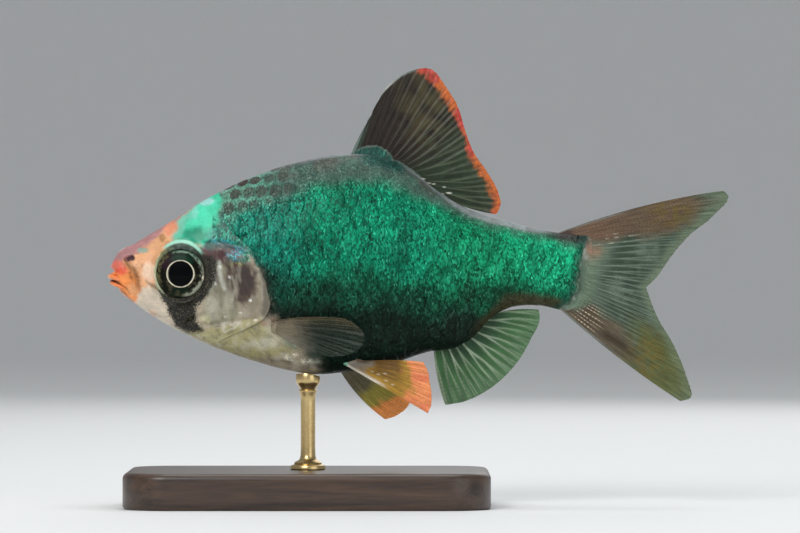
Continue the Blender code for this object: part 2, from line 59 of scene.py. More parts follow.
for name, place, size, power, tint in (
    ("key_lamp", (-0.20, -0.44, 0.32), 0.26, 1.55, (1.0, 0.985, 0.96)),
    ("fill_lamp", (0.36, -0.42, 0.12), 0.40, 0.60, (0.95, 0.98, 1.0)),
    ("top_lamp", (0.02, 0.06, 0.46), 0.24, 0.75, (0.97, 1.0, 1.0)),
    ("back_lamp", (0.10, 0.36, 0.24), 0.30, 0.35, (1.0, 1.0, 1.0)),
):
    lamp = bpy.data.objects.new(name, bpy.data.lights.new(name, "AREA"))
    lamp.data.size, lamp.data.energy, lamp.data.color = size, power, tint
    lamp.location = place
    aim = np.array([0.0, 0.0, 0.026]) - place
    lamp.rotation_euler = (math.atan2(np.hypot(aim[0], aim[1]), -aim[2]), 0.0, math.atan2(-aim[0], aim[1]))
    bpy.context.scene.collection.objects.link(lamp)

sky = bpy.data.worlds.new("studio_air")
bpy.context.scene.world = sky
sky.use_nodes = True
sky.node_tree.nodes["Background"].inputs["Color"].default_value = (0.95, 0.975, 1.0, 1.0)
sky.node_tree.nodes["Background"].inputs["Strength"].default_value = 0.46


def feed(tree, node, sockets):
    """Sets a node's sockets to values, or links other nodes' outputs to them."""
    for key, value in sockets.items():
        if isinstance(value, bpy.types.NodeSocket):
            tree.links.new(value, node.inputs[key])
        else:
            node.inputs[key].default_value = value


def add_node(tree, kind, sockets=None, **settings):
    """Adds a shader node with its settings and sockets."""
    made = tree.nodes.new(kind)
    for key, value in settings.items():
        setattr(made, key, value)
    feed(tree, made, sockets or {})
    return made


def new_material(name, **sockets):
    """A Principled material: its node tree and shader. Sockets are set by name, with _ for a space."""
    material = bpy.data.materials.new(name)
    material.use_nodes = True
    shader = material.node_tree.nodes["Principled BSDF"]
    feed(material.node_tree, shader, {key.replace("_", " "): value for key, value in sockets.items()})
    return material, material.node_tree, shader


def object_place(tree):
    """The place of a point on the object."""
    return add_node(tree, "ShaderNodeTexCoord").outputs["Object"]


def noise(tree, place, scale, detail=2.0, output=0, **more):
    """A smooth noise: its value, or its colour where the output is 1."""
    sockets = {"Vector": place, "Scale": scale, "Detail": detail} | more
    return add_node(tree, "ShaderNodeTexNoise", sockets).outputs[output]


def mixed(tree, share, start, end):
    """The output of a colour mix, from start at 0 to end at 1."""
    return add_node(tree, "ShaderNodeMix", {0: share, 6: start, 7: end}, data_type="RGBA").outputs[2]


def around(count):
    """Evenly spaced angles of a full turn."""
    return np.linspace(0, 2 * math.pi, count, endpoint=False)


def grid_quads(rows, columns, closed=False):
    """Faces of a grid. The last column joins the first if the grid is closed."""
    index = np.arange(rows * columns).reshape(rows, columns)
    if closed:
        index = np.concatenate([index, index[:, :1]], axis=1)
    corners = (index[:-1, :-1], index[:-1, 1:], index[1:, 1:], index[1:, :-1])
    return np.stack(corners, axis=-1).reshape(-1, 4)


def new_piece(name, points, faces, material):
    """A smooth mesh object at the origin, from points in millimetres and lists of point numbers."""
    mesh = bpy.data.meshes.new(name)
    mesh.from_pydata((np.reshape(points, (-1, 3)) * MM).tolist(), [], faces)
    mesh.materials.append(material)
    mesh.shade_smooth()
    piece = bpy.data.objects.new(name, mesh)
    bpy.context.scene.collection.objects.link(piece)
    return piece


def turned(profile, spokes):
    """A profile turned on a lathe: (radius, height) rings round +Z."""
    radius, height = np.array(profile, float).T[..., None]
    turn = around(spokes)
    return np.stack([radius * np.cos(turn), radius * np.sin(turn), height + 0 * turn], axis=-1)


PAPER_FLAT, PAPER_BEND, PAPER_SPOKES = 1000.0, 1200.0, 96
paper, tree, shader = new_material("studio_paper", Roughness=0.85)
grain = noise(tree, object_place(tree), 900.0, 3.0)
paper_shade = mixed(tree, grain, (0.82, 0.825, 0.83, 1), (0.86, 0.865, 0.87, 1))
feed(tree, shader, {"Base Color": paper_shade})
profile = [(20.0, 0.0), (200.0, 0.0), (PAPER_FLAT, 0.0)]
profile += [
    (PAPER_FLAT + PAPER_BEND * math.sin(a), PAPER_BEND * (1 - math.cos(a)))
    for a in np.linspace(0, math.pi / 2, 40)[1:]
]
profile.append((PAPER_FLAT + PAPER_BEND, 2 * PAPER_BEND))
faces = grid_quads(len(profile), PAPER_SPOKES, closed=True)[:, ::-1].tolist() + [list(range(PAPER_SPOKES))]
backdrop = new_piece("paper_sweep", turned(profile, PAPER_SPOKES), faces, paper)

# The fish's skin: cast in one piece from the lips to the root of the tail fin, with the gill covers as
# thin flaps that lift behind. Its sections are ellipses from the belly line to the back line.
BACK_LINE = [
    (-33.8, 26.4), (-33.3, 27.4), (-31.1, 28.9), (-28.0, 30.8), (-23.4, 33.7), (-18.5, 36.1), (-13.0, 37.9),
    (-8.2, 38.7), (-4.4, 38.5), (-1.0, 37.1), (2.0, 34.8), (5.5, 32.7), (10.0, 31.3), (14.5, 30.2),
    (18.5, 29.9), (20.5, 30.2),
]
BELLY_LINE = [
    (-33.8, 24.9), (-33.2, 24.1), (-30.6, 21.9), (-27.3, 19.8), (-23.4, 17.9), (-18.5, 16.1), (-14.1, 14.9),
    (-10.8, 14.5), (-7.0, 14.9), (-3.1, 15.6), (1.3, 17.0), (4.3, 17.5), (6.3, 18.8), (8.0, 20.7), (9.8, 21.7),
    (12.3, 22.1), (14.3, 21.9), (16.3, 21.3), (18.4, 20.5),
]
HALF_WIDTH = [
    (-33.8, 0.9), (-33.2, 1.5), (-31.2, 2.35), (-28.0, 3.15), (-24.0, 3.9), (-20.0, 4.5), (-15.0, 5.05),
    (-9.5, 5.2), (-3.0, 4.8), (3.0, 3.85), (8.0, 2.95), (13.0, 2.05), (16.0, 1.35), (17.5, 0.88), (19.5, 0.5),
]
GILL_LINE = [
    (-21.9, 38.0), (-21.7, 33.7), (-21.1, 31.2), (-20.0, 29.5), (-18.5, 28.4), (-17.5, 26.8), (-16.9, 25.3),
    (-16.4, 23.8), (-16.15, 22.4), (-16.5, 21.2), (-17.5, 20.3), (-19.2, 19.5), (-21.2, 18.6), (-23.2, 17.6),
    (-24.0, 15.0),
]
SNOUT_X, TAIL_ROOT_X = -33.8, 17.4
WIDEST_AT, KEEL, LEAN_FROM, LEAN = 0.48, 0.14, 6.0, 2.2


def spline(knots, values, at):
    """A cubic through the values, where each knot's slope comes from its two neighbours."""
    knots, values, at = np.asarray(knots, float), np.asarray(values, float), np.asarray(at, float)
    slopes = np.gradient(values, knots, axis=0)
    i = np.clip(np.searchsorted(knots, at, side="right") - 1, 0, len(knots) - 2)
    span = knots[i + 1] - knots[i]
    t = (at - knots[i]) / span
    if values.ndim > 1:
        span, t = span[..., None], t[..., None]
    return (
        (2 * t**3 - 3 * t**2 + 1) * values[i]
        + (t**3 - 2 * t**2 + t) * span * slopes[i]
        + (3 * t**2 - 2 * t**3) * values[i + 1]
        + (t**3 - t**2) * span * slopes[i + 1]
    )


def on_line(line, x):
    """The height of an outline at x."""
    points = np.array(line)
    return spline(points[:, 0], points[:, 1], x)


def along(line, shares):
    """Points at shares of the length of a smooth curve through the line's points."""
    points = np.array(line, float)
    chord = np.concatenate([[0], np.cumsum(np.linalg.norm(np.diff(points, axis=0), axis=1))])
    fine = spline(chord, points, np.linspace(0, chord[-1], 400))
    run = np.concatenate([[0], np.cumsum(np.linalg.norm(np.diff(fine, axis=0), axis=1))])
    at = np.asarray(shares) * run[-1]
    return np.stack([np.interp(at, run, fine[:, k]) for k in range(points.shape[1])], axis=1)


def body_at(x, angle):
    """The body's surface. Angle 0 is the back, a quarter turn the left flank and a half turn the belly."""
    x, angle = np.broadcast_arrays(np.asarray(x, float), np.asarray(angle, float))
    lean = LEAN * np.clip((x - LEAN_FROM) / (TAIL_ROOT_X - LEAN_FROM), 0, 1) ** 2
    top, bottom = on_line(BACK_LINE, x + lean / 2), on_line(BELLY_LINE, x - lean / 2)
    widest = bottom + WIDEST_AT * (top - bottom)
    rise, side = np.cos(angle), np.sin(angle)
    z = widest + np.where(rise > 0, top - widest, widest - bottom) * rise
    y = -on_line(HALF_WIDTH, x) * np.sign(side) * np.abs(side) ** (1 + KEEL * rise)
    return np.stack([x + lean * ((z - bottom) / (top - bottom) - 0.5), y, z], axis=-1)


def unit(vectors):
    return vectors / np.maximum(np.linalg.norm(vectors, axis=-1, keepdims=True), 1e-12)


def body_out(x, angle):
    """The body's outward direction, from small steps along it and round it."""
    run = body_at(x + 0.02, angle) - body_at(x - 0.02, angle)
    turn = body_at(x, np.asarray(angle) + 0.01) - body_at(x, np.asarray(angle) - 0.01)
    return unit(np.cross(turn, run))


def ramp(start, end, values):
    """Goes smoothly from 0 at start to 1 at end. Start may be the larger."""
    t = np.clip((values - start) / (end - start), 0, 1)
    return t * t * (3 - 2 * t)


STEP = 0.11  # millimetres


def ruled(steps):
    """Side-view points in millimetres, from steps across and down. The origin is at step 418, 506."""
    return (np.reshape(steps, (-1, 2)) - (418, 506)) * (STEP, -STEP)


def to_line(points, line, closed=False):
    """Distance from x-z points to a line of straight runs given in steps, negative inside a closed one."""
    line = ruled(line)
    starts, ends = (line, np.roll(line, -1, axis=0)) if closed else (line[:-1], line[1:])
    nearest = np.full(len(points), np.inf)
    inside = np.zeros(len(points), bool)
    for start, end in zip(starts, ends):
        run, off = end - start, points - start
        share = np.clip(off @ run / (run @ run), 0, 1)
        nearest = np.minimum(nearest, np.hypot(*(off - share[:, None] * run).T))
        if closed and start[1] != end[1]:
            crosses = (start[1] > points[:, 1]) != (end[1] > points[:, 1])
            inside ^= crosses & (points[:, 0] < start[0] + (points[:, 1] - start[1]) * run[0] / run[1])
    return np.where(inside, -nearest, nearest)


def mottle(points, size, seed):
    """Smooth random values from -1 to 1: cubes of the given size with a random number at each corner."""
    corners = np.random.default_rng(seed).uniform(-1, 1, (32, 32, 32))
    place = points / size + 100.37
    cell = np.floor(place).astype(int)
    share = place - cell
    share = share * share * (3 - 2 * share)
    total = 0.0
    for corner in np.ndindex(2, 2, 2):
        weight = np.prod(np.where(corner, share, 1 - share), axis=-1)
        total = total + weight * corners[tuple(((cell + corner) % 32).T)]
    return total

# The relief of the head, worked into the wax before casting: eye sockets with a raised lid, nostrils,
# the creases of the jaw and cheek, and the bony plates' edges. Lines are x, z pairs in steps.
EYE_CENTRE, EYE_PLANE, EYE_TURN, LID_OVAL = np.array([-25.92, 25.72]), 3.0, math.radians(8), 1.13
FOLDS = [  # line, rise and half-width in millimetres
    ([115, 283.5, 121, 285.5, 127, 289, 133, 294], -0.1, 0.2),
    ([122, 262, 128, 267, 134, 272, 137, 282, 141, 296], -0.12, 0.3),
    ([127, 268, 129, 276, 131, 284], -0.08, 0.22),
    ([147, 281, 156, 286, 163, 292, 170, 297], -0.13, 0.32),
    ([222, 256, 222, 275, 220, 290, 214, 305, 204, 316, 190, 322], -0.16, 0.36),
    ([229, 262, 231, 280, 228, 298, 218, 314, 204, 324], -0.1, 0.3),
    ([233, 266, 240, 284, 243, 300], -0.06, 0.4),
    ([205, 326, 228, 322, 250, 320, 263, 318], -0.12, 0.3),
    ([205, 244, 222, 243, 238, 246, 250, 252], -0.08, 0.35),
    ([206, 205, 214, 222, 216, 238], -0.05, 0.45),
    ([112, 274, 117, 273.5, 122, 275], 0.06, 0.2),
    ([127, 262, 133, 267, 137, 275, 141, 288], 0.08, 0.35),
    ([226, 258, 226.5, 280, 223, 298, 213, 311], 0.09, 0.32),
    ([250, 256, 258, 272, 265, 292, 265, 308], 0.08, 0.45),
    ([208, 334, 232, 327, 254, 326], 0.08, 0.5),
]
NOSTRILS = [(-31.96, 27.11, 0.35, 0.40), (-31.35, 27.28, 0.29, 0.34)]  # x, z, half size, depth


def relief(points):
    """How far the skin stands out: smooth-sided grooves, ridges and pits by distance in the side view."""
    flat = points[:, [0, 2]] + 0.07 * np.stack([mottle(points, 0.9, 5), mottle(points, 0.9, 6)], axis=1)
    height = np.zeros(len(points))
    for line, rise, half in FOLDS:
        height += rise * np.exp(-((to_line(flat, line) / half) ** 2))
    for x, z, radius, depth in NOSTRILS:
        reach = np.hypot(points[:, 0] - x, points[:, 2] - z) / radius
        height += 0.10 * np.exp(-(((reach - 1.35) / 0.35) ** 2)) - depth * ramp(1.15, 0.65, reach)
    return height


def eye_axes(side):
    """The eye's middle, and its forward, upward and outward directions. Side is -1 for the left eye."""
    outward = np.array([-math.sin(EYE_TURN), side * math.cos(EYE_TURN), 0.0])
    ahead = np.array([-math.cos(EYE_TURN), -side * math.sin(EYE_TURN), 0.0])
    middle = np.array([EYE_CENTRE[0], side * EYE_PLANE, EYE_CENTRE[1]])
    return middle, ahead, np.array([0.0, 0.0, 1.0]), outward


LID_PROFILE = [  # distance from the eye's middle, and height over its plane
    (0.0, -0.3), (1.9, -0.1), (2.2, 0.12), (2.45, 0.26), (2.62, 0.34), (2.74, 0.42), (2.84, 0.54), (2.94, 0.60),
    (3.06, 0.55), (3.25, 0.42), (3.65, 0.30),
]


def with_sockets(points):
    """Draws the skin to the lid's profile round each eye, fading out to the body's own shape."""
    for side in (-1, 1):
        middle, ahead, up, outward = eye_axes(side)
        off = points - middle
        reach = np.hypot(off @ ahead, off @ up / LID_OVAL)
        height = off @ outward
        target = np.interp(reach, *np.array(LID_PROFILE).T)
        weight = ramp(3.6, 2.8, reach) * (side * points[:, 1] > 0.4)
        points = points + (weight * (target - height))[:, None] * outward
    return points


gill_heights = np.array(GILL_LINE)[::-1, 1]
gill_places = np.array(GILL_LINE)[::-1, 0]
AROUND, HEAD_RINGS, TRUNK_RINGS = 352, 212, 36
angles = around(AROUND)
gill_x = np.full(AROUND, -20.0)
for _ in range(80):
    height = body_at(gill_x, angles)[:, 2]
    gill_x = 0.6 * gill_x + 0.4 * np.interp(height, gill_heights, gill_places)
gill_x = np.real(np.fft.ifft(np.fft.fft(gill_x) * (np.abs(np.fft.fftfreq(AROUND, 1 / AROUND)) < 40)))
gill_height = body_at(gill_x, angles)[:, 2]
flap = ramp(29.6, 27.0, gill_height) * ramp(17.6, 20.2, gill_height)

COVER_LIFT, COAT = 0.35, 0.10
share = np.linspace(0, 1, HEAD_RINGS)
share = 0.45 * share + 0.55 * share**1.6
head_x = SNOUT_X + (gill_x[None, :] - SNOUT_X) * share[:, None]
lift = COVER_LIFT * ramp(-22.5, -19.5, head_x) * np.abs(np.sin(angles)) ** 3 * flap
rim_run = np.array([0.06, 0.11, 0.13, 0.10, 0.0, -0.18, -0.22, -0.05, 0.18, 0.5, 0.95])
rim_height = np.array([-0.02, -0.07, -0.15, -0.23, -0.30, -0.36, -0.44, -0.48, -0.45, -0.42, -0.45])
open_run = np.linspace(0.04, 0.95, len(rim_run))
open_height = -COAT * np.linspace(0.1, 1, len(rim_run))
rim_x = gill_x + open_run[:, None] + flap * (rim_run - open_run)[:, None]
rim_lift = flap * (COVER_LIFT + rim_height[:, None]) + (1 - flap) * open_height[:, None]
back_share = np.linspace(0, 1, TRUNK_RINGS)[1:]
trunk_x = rim_x[-1] + (TAIL_ROOT_X - rim_x[-1]) * back_share[:, None]
trunk_lift = np.full(trunk_x.shape, -COAT)
ring_x = np.concatenate([head_x, rim_x, trunk_x])
ring_lift = np.concatenate([lift, rim_lift, trunk_lift])
ring_angle = np.broadcast_to(angles, ring_x.shape)
body = body_at(ring_x, ring_angle)
outward = body_out(ring_x, ring_angle)
rings = body + ring_lift[..., None] * outward
in_head = np.zeros(len(ring_x))
in_head[:HEAD_RINGS] = 1
in_head = (in_head[:, None] * np.ones(AROUND)).ravel()
rings = rings + (in_head * relief(body.reshape(-1, 3))).reshape(ring_x.shape)[..., None] * outward
rings[:HEAD_RINGS] = with_sockets(rings[:HEAD_RINGS].reshape(-1, 3)).reshape(HEAD_RINGS, AROUND, 3)

# Closed ends: the front is rounded inside the mouth, and the back is a long wedge inside the tail fin.
MOUTH_MIDDLE = np.array([SNOUT_X + 0.1, 0.0, 25.35])
front = []
for turn in np.linspace(0.15, 1.0, 9)[:-1] * math.pi / 2:
    shrunk = MOUTH_MIDDLE + (rings[0] - MOUTH_MIDDLE) * math.sin(turn)
    shrunk[:, 0] = SNOUT_X - 0.22 * math.cos(turn)
    front.append(shrunk)
tail_middle = rings[-1].mean(axis=0)
rear = []
for turn in np.linspace(0.0, 1.0, 13)[1:]:
    size = [1 - 0.5 * turn, 0.04 + 0.96 * (1 - turn) ** 1.6, 1 - 0.2 * turn**2]
    rear.append(tail_middle + (rings[-1] - tail_middle) * size + [1.4 * turn, 0, 0])
rings = np.concatenate([np.array(front), rings, np.array(rear)])
NOTCH_HEIGHT, NOTCH_HALF, NOTCH_DEPTH = 25.88, 0.30, 0.55
notch = np.exp(-(((rings[..., 2] - NOTCH_HEIGHT) / NOTCH_HALF) ** 2)) + 0.75 * ramp(25.7, 25.3, rings[..., 2])
rings[..., 0] += NOTCH_DEPTH * np.minimum(notch, 1) * ramp(-32.6, -33.7, rings[..., 0])


def capped(rings):
    """A tube of rings, closed by triangles to a middle point at each end: its points and faces."""
    rows, count = rings.shape[:2]
    points = np.concatenate([rings.reshape(-1, 3), rings[:1].mean(axis=1), rings[-1:].mean(axis=1)])
    j = np.arange(count)
    k = (j + 1) % count
    first = np.stack([np.full(count, rows * count), k, j], axis=1)
    last = np.stack([np.full(count, rows * count + 1), (rows - 1) * count + j, (rows - 1) * count + k], axis=1)
    return points, grid_quads(rows, count, closed=True).tolist() + first.tolist() + last.tolist()


skin_points, skin_faces = capped(rings)

# The fish's colours, laid on as soft-edged patches over a ground, from the snout to the tail, on both
# flanks alike. Places, half sizes and softness are in steps, and strengths are shares.
COLOURS = {
    "cheek": (176, 164, 142), "peach": (228, 170, 126), "pale_cheek": (214, 200, 180),
    "mauve": (166, 118, 124), "orange_pink": (230, 148, 112), "ochre": (160, 112, 66),
    "lip_red": (216, 104, 88), "tip_red": (230, 92, 66), "painted_rim_highlight": (240, 230, 222),
    "jaw_orange": (242, 144, 76), "jaw_brown": (104, 66, 36), "jaw_cream": (226, 170, 120),
    "nostril": (66, 46, 66), "turquoise": (124, 168, 156), "cream": (238, 210, 184),
    "under_eye_crease_shade": (132, 112, 84), "mint": (54, 190, 150), "mint_bright": (82, 214, 174),
    "mint_grey": (146, 196, 182), "mint_deep": (18, 134, 104), "painted_lavender_sheen": (168, 214, 214),
    "teal_deep": (44, 138, 128), "maroon": (74, 44, 48), "sky_blue": (52, 138, 158),
    "sea_green": (40, 112, 92), "moss": (116, 122, 62), "olive_silver": (142, 140, 118),
    "silver": (186, 182, 164), "painted_silver_sheen": (188, 190, 178), "plum": (70, 50, 44),
    "plum_dark": (50, 40, 40), "glint": (246, 244, 238), "rim_mauve": (90, 86, 76),
    "cover_tan": (142, 132, 114), "gill_shadow": (28, 36, 32), "throat": (172, 166, 118),
    "throat_pale": (196, 192, 152), "breast": (204, 198, 172), "breast_white": (206, 204, 190),
    "breast_blue": (112, 132, 124), "breast_dark": (88, 84, 66), "fin_root_crease_shade": (84, 68, 52),
    "lid_pale": (186, 196, 162), "lid_mint": (160, 226, 202), "lid_teal": (98, 120, 110),
    "lid_dark": (34, 32, 24), "soot": (28, 27, 20), "rim_teal": (8, 56, 54), "fold_pink": (158, 122, 110),
    "lid_moss": (132, 134, 86), "lid_olive": (112, 116, 96), "cover_shade": (112, 108, 94),
    "nape_dark": (52, 50, 48), "belly_teal": (52, 84, 74), "painted_belly_glint": (206, 208, 190),
    "smudge": (150, 98, 52), "emerald": (2, 115, 84), "teal": (4, 102, 88), "leaf": (8, 122, 80),
    "deep": (2, 36, 22), "dusk": (4, 17, 11), "belly": (12, 26, 20), "back": (76, 94, 88),
    "back_brown": (84, 72, 68), "edge": (148, 154, 156), "stalk_under": (62, 54, 34),
    "stalk": (12, 152, 108), "root_dark": (52, 44, 46), "stalk_dark": (14, 56, 46),
    "fin_teal": (14, 66, 58), "root_grey": (84, 106, 88), "root_light": (112, 130, 110),
    "root_pink": (164, 116, 94), "root_pale": (166, 176, 168),
}
PLUM = [226, 262, 244, 260, 255, 266, 258, 284, 256, 298, 246, 305, 236, 301, 229, 284]
AREAS = [  # outline, colour, strength, softness
    ([98, 304, 98, 250, 160, 214, 178, 226, 170, 246, 160, 262, 156, 282, 142, 302, 128, 300], "peach", 1,
     8),
    ([138, 290, 150, 284, 162, 296, 182, 334, 150, 328, 126, 302], "pale_cheek", 0.95, 7),
    ([104, 262, 112, 246, 132, 234, 168, 210, 192, 200, 192, 210, 176, 221, 154, 240, 136, 256, 118, 264],
     "mauve", 0.9, 6),
    ([104, 286, 108, 274, 126, 266, 138, 276, 141, 288, 136, 303, 124, 298], "jaw_orange", 0.95, 6),
    ([176, 240, 174, 230, 184, 217, 192, 208, 204, 196, 222, 184, 226, 200, 222, 214, 222, 228, 220, 240,
     210, 249, 197, 243], "mint", 1, 6),
    ([184, 226, 192, 210, 208, 200, 220, 200, 219, 222, 204, 230], "mint_bright", 0.85, 8),
    ([172, 236, 178, 222, 190, 210, 194, 212, 186, 226, 180, 238], "mint_grey", 0.55, 8),
    ([180, 240, 188, 230, 204, 228, 206, 240, 196, 244], "mint_deep", 0.85, 8),
    ([204, 248, 210, 232, 224, 224, 226, 240, 214, 250], "teal_deep", 0.75, 8),
    ([204, 262, 204, 248, 214, 241, 232, 241, 250, 249, 250, 266, 232, 270, 216, 264], "maroon", 0.97, 6),
    ([217, 264, 232, 262, 240, 284, 240, 318, 212, 328, 202, 318, 206, 303, 212, 290], "olive_silver", 0.85,
     6),
    ([204, 255, 213, 256, 222, 262, 221, 272, 218, 283, 211, 294, 202, 299, 203, 284, 206, 270], "soot",
     0.92, 6),
    ([206, 242, 220, 237, 238, 239, 253, 246, 262, 256, 268, 272, 259, 268, 251, 256, 240, 250, 222, 249,
     208, 250], "rim_teal", 0.95, 4),
    ([208, 278, 234, 272, 240, 304, 214, 304], "cover_shade", 0.6, 9),
    ([236, 296, 258, 280, 266, 300, 262, 318, 240, 320], "cover_tan", 0.8, 9),
    (PLUM, "plum", 0.9, 11),
    ([236, 270, 251, 270, 252, 288, 243, 296, 237, 286], "plum_dark", 0.6, 9),
    ([178, 328, 206, 331, 232, 324, 262, 318, 292, 322, 300, 350, 250, 360, 210, 346], "throat", 0.85, 7),
]
BAR = [  # the black bar through the eye, speckled at its edges
    205, 259, 211, 257, 218, 261, 219, 271, 216, 281, 211, 290, 204, 299, 197, 308, 197, 320, 204, 331, 188,
    332, 176, 326, 170, 312, 164, 298, 160, 290, 176, 300, 194, 296, 203, 284, 206, 270,
]
BANDS = [  # line, half-width, colour, strength, softness
    # The white lines along the snout's front and its top edge are painted highlights.
    ([110, 259, 111, 265, 113, 270], 2, "painted_rim_highlight", 0.9, 3),
    ([111, 258, 128, 243, 150, 227, 176, 210], 0.8, "painted_rim_highlight", 0.5, 2.4),
    ([128, 263, 134, 269, 137, 278, 138, 290], 3, "smudge", 0.75, 7),
    ([128, 264, 131, 270, 132, 278], 0.7, "jaw_brown", 0.55, 2.5),
    ([134, 268, 139, 276, 141, 286], 1, "jaw_brown", 0.5, 4),
    ([113, 280.5, 120, 284, 126, 288, 131, 294], 0.8, "jaw_brown", 0.75, 1.6),
    ([121, 291, 128, 297, 134, 301], 1, "jaw_brown", 0.6, 2),
    # Painted shade in the crease under the eye.
    ([147, 281, 156, 286, 165, 293], 1.2, "under_eye_crease_shade", 0.75, 3),
    ([150, 283, 163, 292, 170, 299], 1, "jaw_brown", 0.5, 3),
    # The bright silvery streaks on the gill cover are a painted sheen.
    ([221, 262, 221, 274, 225, 288], 2, "painted_silver_sheen", 0.8, 4),
    ([233, 300, 236, 288, 234, 276], 1, "silver", 0.5, 3),
    ([262, 266, 266, 281, 268, 296, 266, 312], 4.5, "rim_mauve", 0.85, 7),
    ([258, 268, 263, 284, 264, 300], 0.8, "silver", 0.4, 2.5),
    # Painted shade in the crease under the pectoral fin's root.
    ([262, 321, 275, 320, 288, 320], 1.5, "fin_root_crease_shade", 0.7, 3),
    ([226, 331, 231, 329, 236, 328, 241, 322], 0.3, "glint", 0.6, 2),
    # Another streak of painted silvery sheen, in front of it.
    ([214, 266, 217, 280, 212, 292], 0.6, "painted_silver_sheen", 0.5, 2.4),
]
SPOTS = [  # middle, half-length, half-height, colour, strength
    (118, 266, 8, 6, "lip_red", 0.9), (122, 271, 6, 4, "tip_red", 0.85),
    (171, 228, 7, 8, "orange_pink", 0.9), (163, 238, 4, 4, "ochre", 0.7), (168, 244, 3, 3, "ochre", 0.5),
    (153, 256, 10, 14, "peach", 0.5), (150, 272, 7, 9, "cream", 0.8),
    (143, 250.5, 5.6, 3, "turquoise", 0.8), (131.5, 259, 4, 3.4, "nostril", 0.9),
    # The lavender spots at the top of the crown are a painted sheen.
    (133, 290, 6, 7, "jaw_cream", 0.6), (207, 202, 8, 4, "painted_lavender_sheen", 0.75),
    (196, 211, 4, 8, "painted_lavender_sheen", 0.35), (228, 199, 5, 8, "nape_dark", 0.9),
    (232, 188, 6, 4, "nape_dark", 0.8), (222, 193, 2.5, 3, "nape_dark", 0.7),
    (242, 189, 5, 4, "nape_dark", 0.8), (238, 254, 9, 6.5, "sky_blue", 0.9),
    (225, 242, 9, 3, "sky_blue", 0.7), (216, 241, 5, 3, "sky_blue", 0.4),
    (247, 257, 7, 6, "sea_green", 0.85), (238, 264.5, 7, 2.5, "moss", 0.6),
    (233, 257, 3, 4, "sea_green", 0.5), (213, 306, 8, 12, "silver", 0.7),
    (207, 320, 6, 5, "throat_pale", 0.6), (252, 300, 1.8, 1.4, "glint", 0.95),
    (229, 300, 6, 10, "silver", 0.4), (256, 276, 3, 9, "plum_dark", 0.4),
    (215, 338, 16, 5, "throat_pale", 0.6), (280, 336, 16, 9, "breast", 0.8),
    (271, 322, 12, 4, "fold_pink", 0.7), (262, 344, 20, 5, "breast_white", 0.5),
    (296, 341, 12, 8, "breast_blue", 0.7), (152, 314, 6, 4, "peach", 0.4),
    # The pale blobs along the lower edge of the belly are painted glints.
    (318, 348, 15, 14, "belly_teal", 0.85), (292, 357, 6, 3.6, "painted_belly_glint", 1),
    (304, 360, 5, 3.2, "painted_belly_glint", 1), (315, 361, 5, 3, "painted_belly_glint", 0.9),
    (283, 361, 12, 2.4, "breast_dark", 0.6), (222, 267, 2, 1, "glint", 0.9),
    (231, 277, 1.2, 1.2, "glint", 0.7), (257, 320, 2, 0.8, "glint", 0.8), (216, 284, 1, 1.6, "glint", 0.5),
    (241, 311, 2.2, 0.9, "glint", 0.5), (226, 316, 1.6, 0.9, "glint", 0.4),
]
SPECKLED = {"sky_blue", "moss", "sea_green", "painted_belly_glint"}
NAPE = [
    222, 120, 222, 186, 224, 200, 220, 214, 217, 232, 210, 246, 225, 242, 240, 246, 251, 250, 257, 260, 262,
    272, 300, 272, 300, 120,
]
SCALES_END = [589, 220, 587, 237, 582, 259, 577, 276, 576, 290, 567, 304, 556, 312, 546, 324]


def linear(red, green, blue):
    """A colour given from 0 to 255 as the eye sees it, as linear light."""
    value = np.array([red, green, blue]) / 255
    return np.where(value <= 0.04045, value / 12.92, ((value + 0.055) / 1.055) ** 2.4)


def ground(name, points):
    """One named colour at every point."""
    return np.tile(linear(*COLOURS[name]), (len(points), 1))


def layered(colour, *coats):
    """Lays named colours over a ground in turn, each by its own weight at every point."""
    for name, weight in coats:
        colour = colour + np.asarray(weight)[:, None] * (linear(*COLOURS[name]) - colour)
    return colour


def soft_oval(points, x, z, half_x, half_z):
    """A soft oval in the side view: e to the power of minus the squared distance, in half sizes."""
    return np.exp(-(((points[:, 0] - x) / half_x) ** 2) - ((points[:, 2] - z) / half_z) ** 2)


def spot_reach(flat, x, z, half_x, half_z):
    """Distance from a spot's middle, as a share of its half sizes."""
    return np.hypot(*((flat - ruled([x, z])) / (STEP * half_x, STEP * half_z)).T)


def behind_gill(points):
    """Distance behind the gill line in the side view, negative in front of it."""
    return points[:, 0] - np.interp(points[:, 2], gill_heights, gill_places)


def past_scales(points):
    """Distance behind the slanting line where the scales end, negative in front of it."""
    x, z = ruled(SCALES_END)[::-1].T
    return points[:, 0] - np.interp(points[:, 2], z, x)


def tail_root(colour, points, weight):
    """Paints the scaleless root of the tail fin: grey green, lighter behind, pink above, with pale flecks."""
    x, z = points[:, 0], points[:, 2]
    past, flecks = past_scales(points), ramp(0.1, 0.7, mottle(points * [1, 1, 0.6], 0.25, 18))
    return layered(
        colour,
        ("root_grey", weight),
        ("root_light", 0.9 * weight * ramp(0.3, 1.3, past + 0.3 * mottle(points, 0.5, 20))),
        ("root_pink", (0.7 + 0.3 * mottle(points, 0.3, 19)) * weight * soft_oval(points, 19.3, 28.3, 1.5, 1.1)),
        ("root_pale", 0.7 * weight * soft_oval(points, 18.2, 28.1, 0.3, 0.9)),
        ("root_dark", 0.85 * weight * ramp(19.2, 18.4, x) * ramp(28.2, 29.2, z)),
        ("root_pale", 0.5 * weight * flecks * ramp(1.3, 0.2, past)),
    )


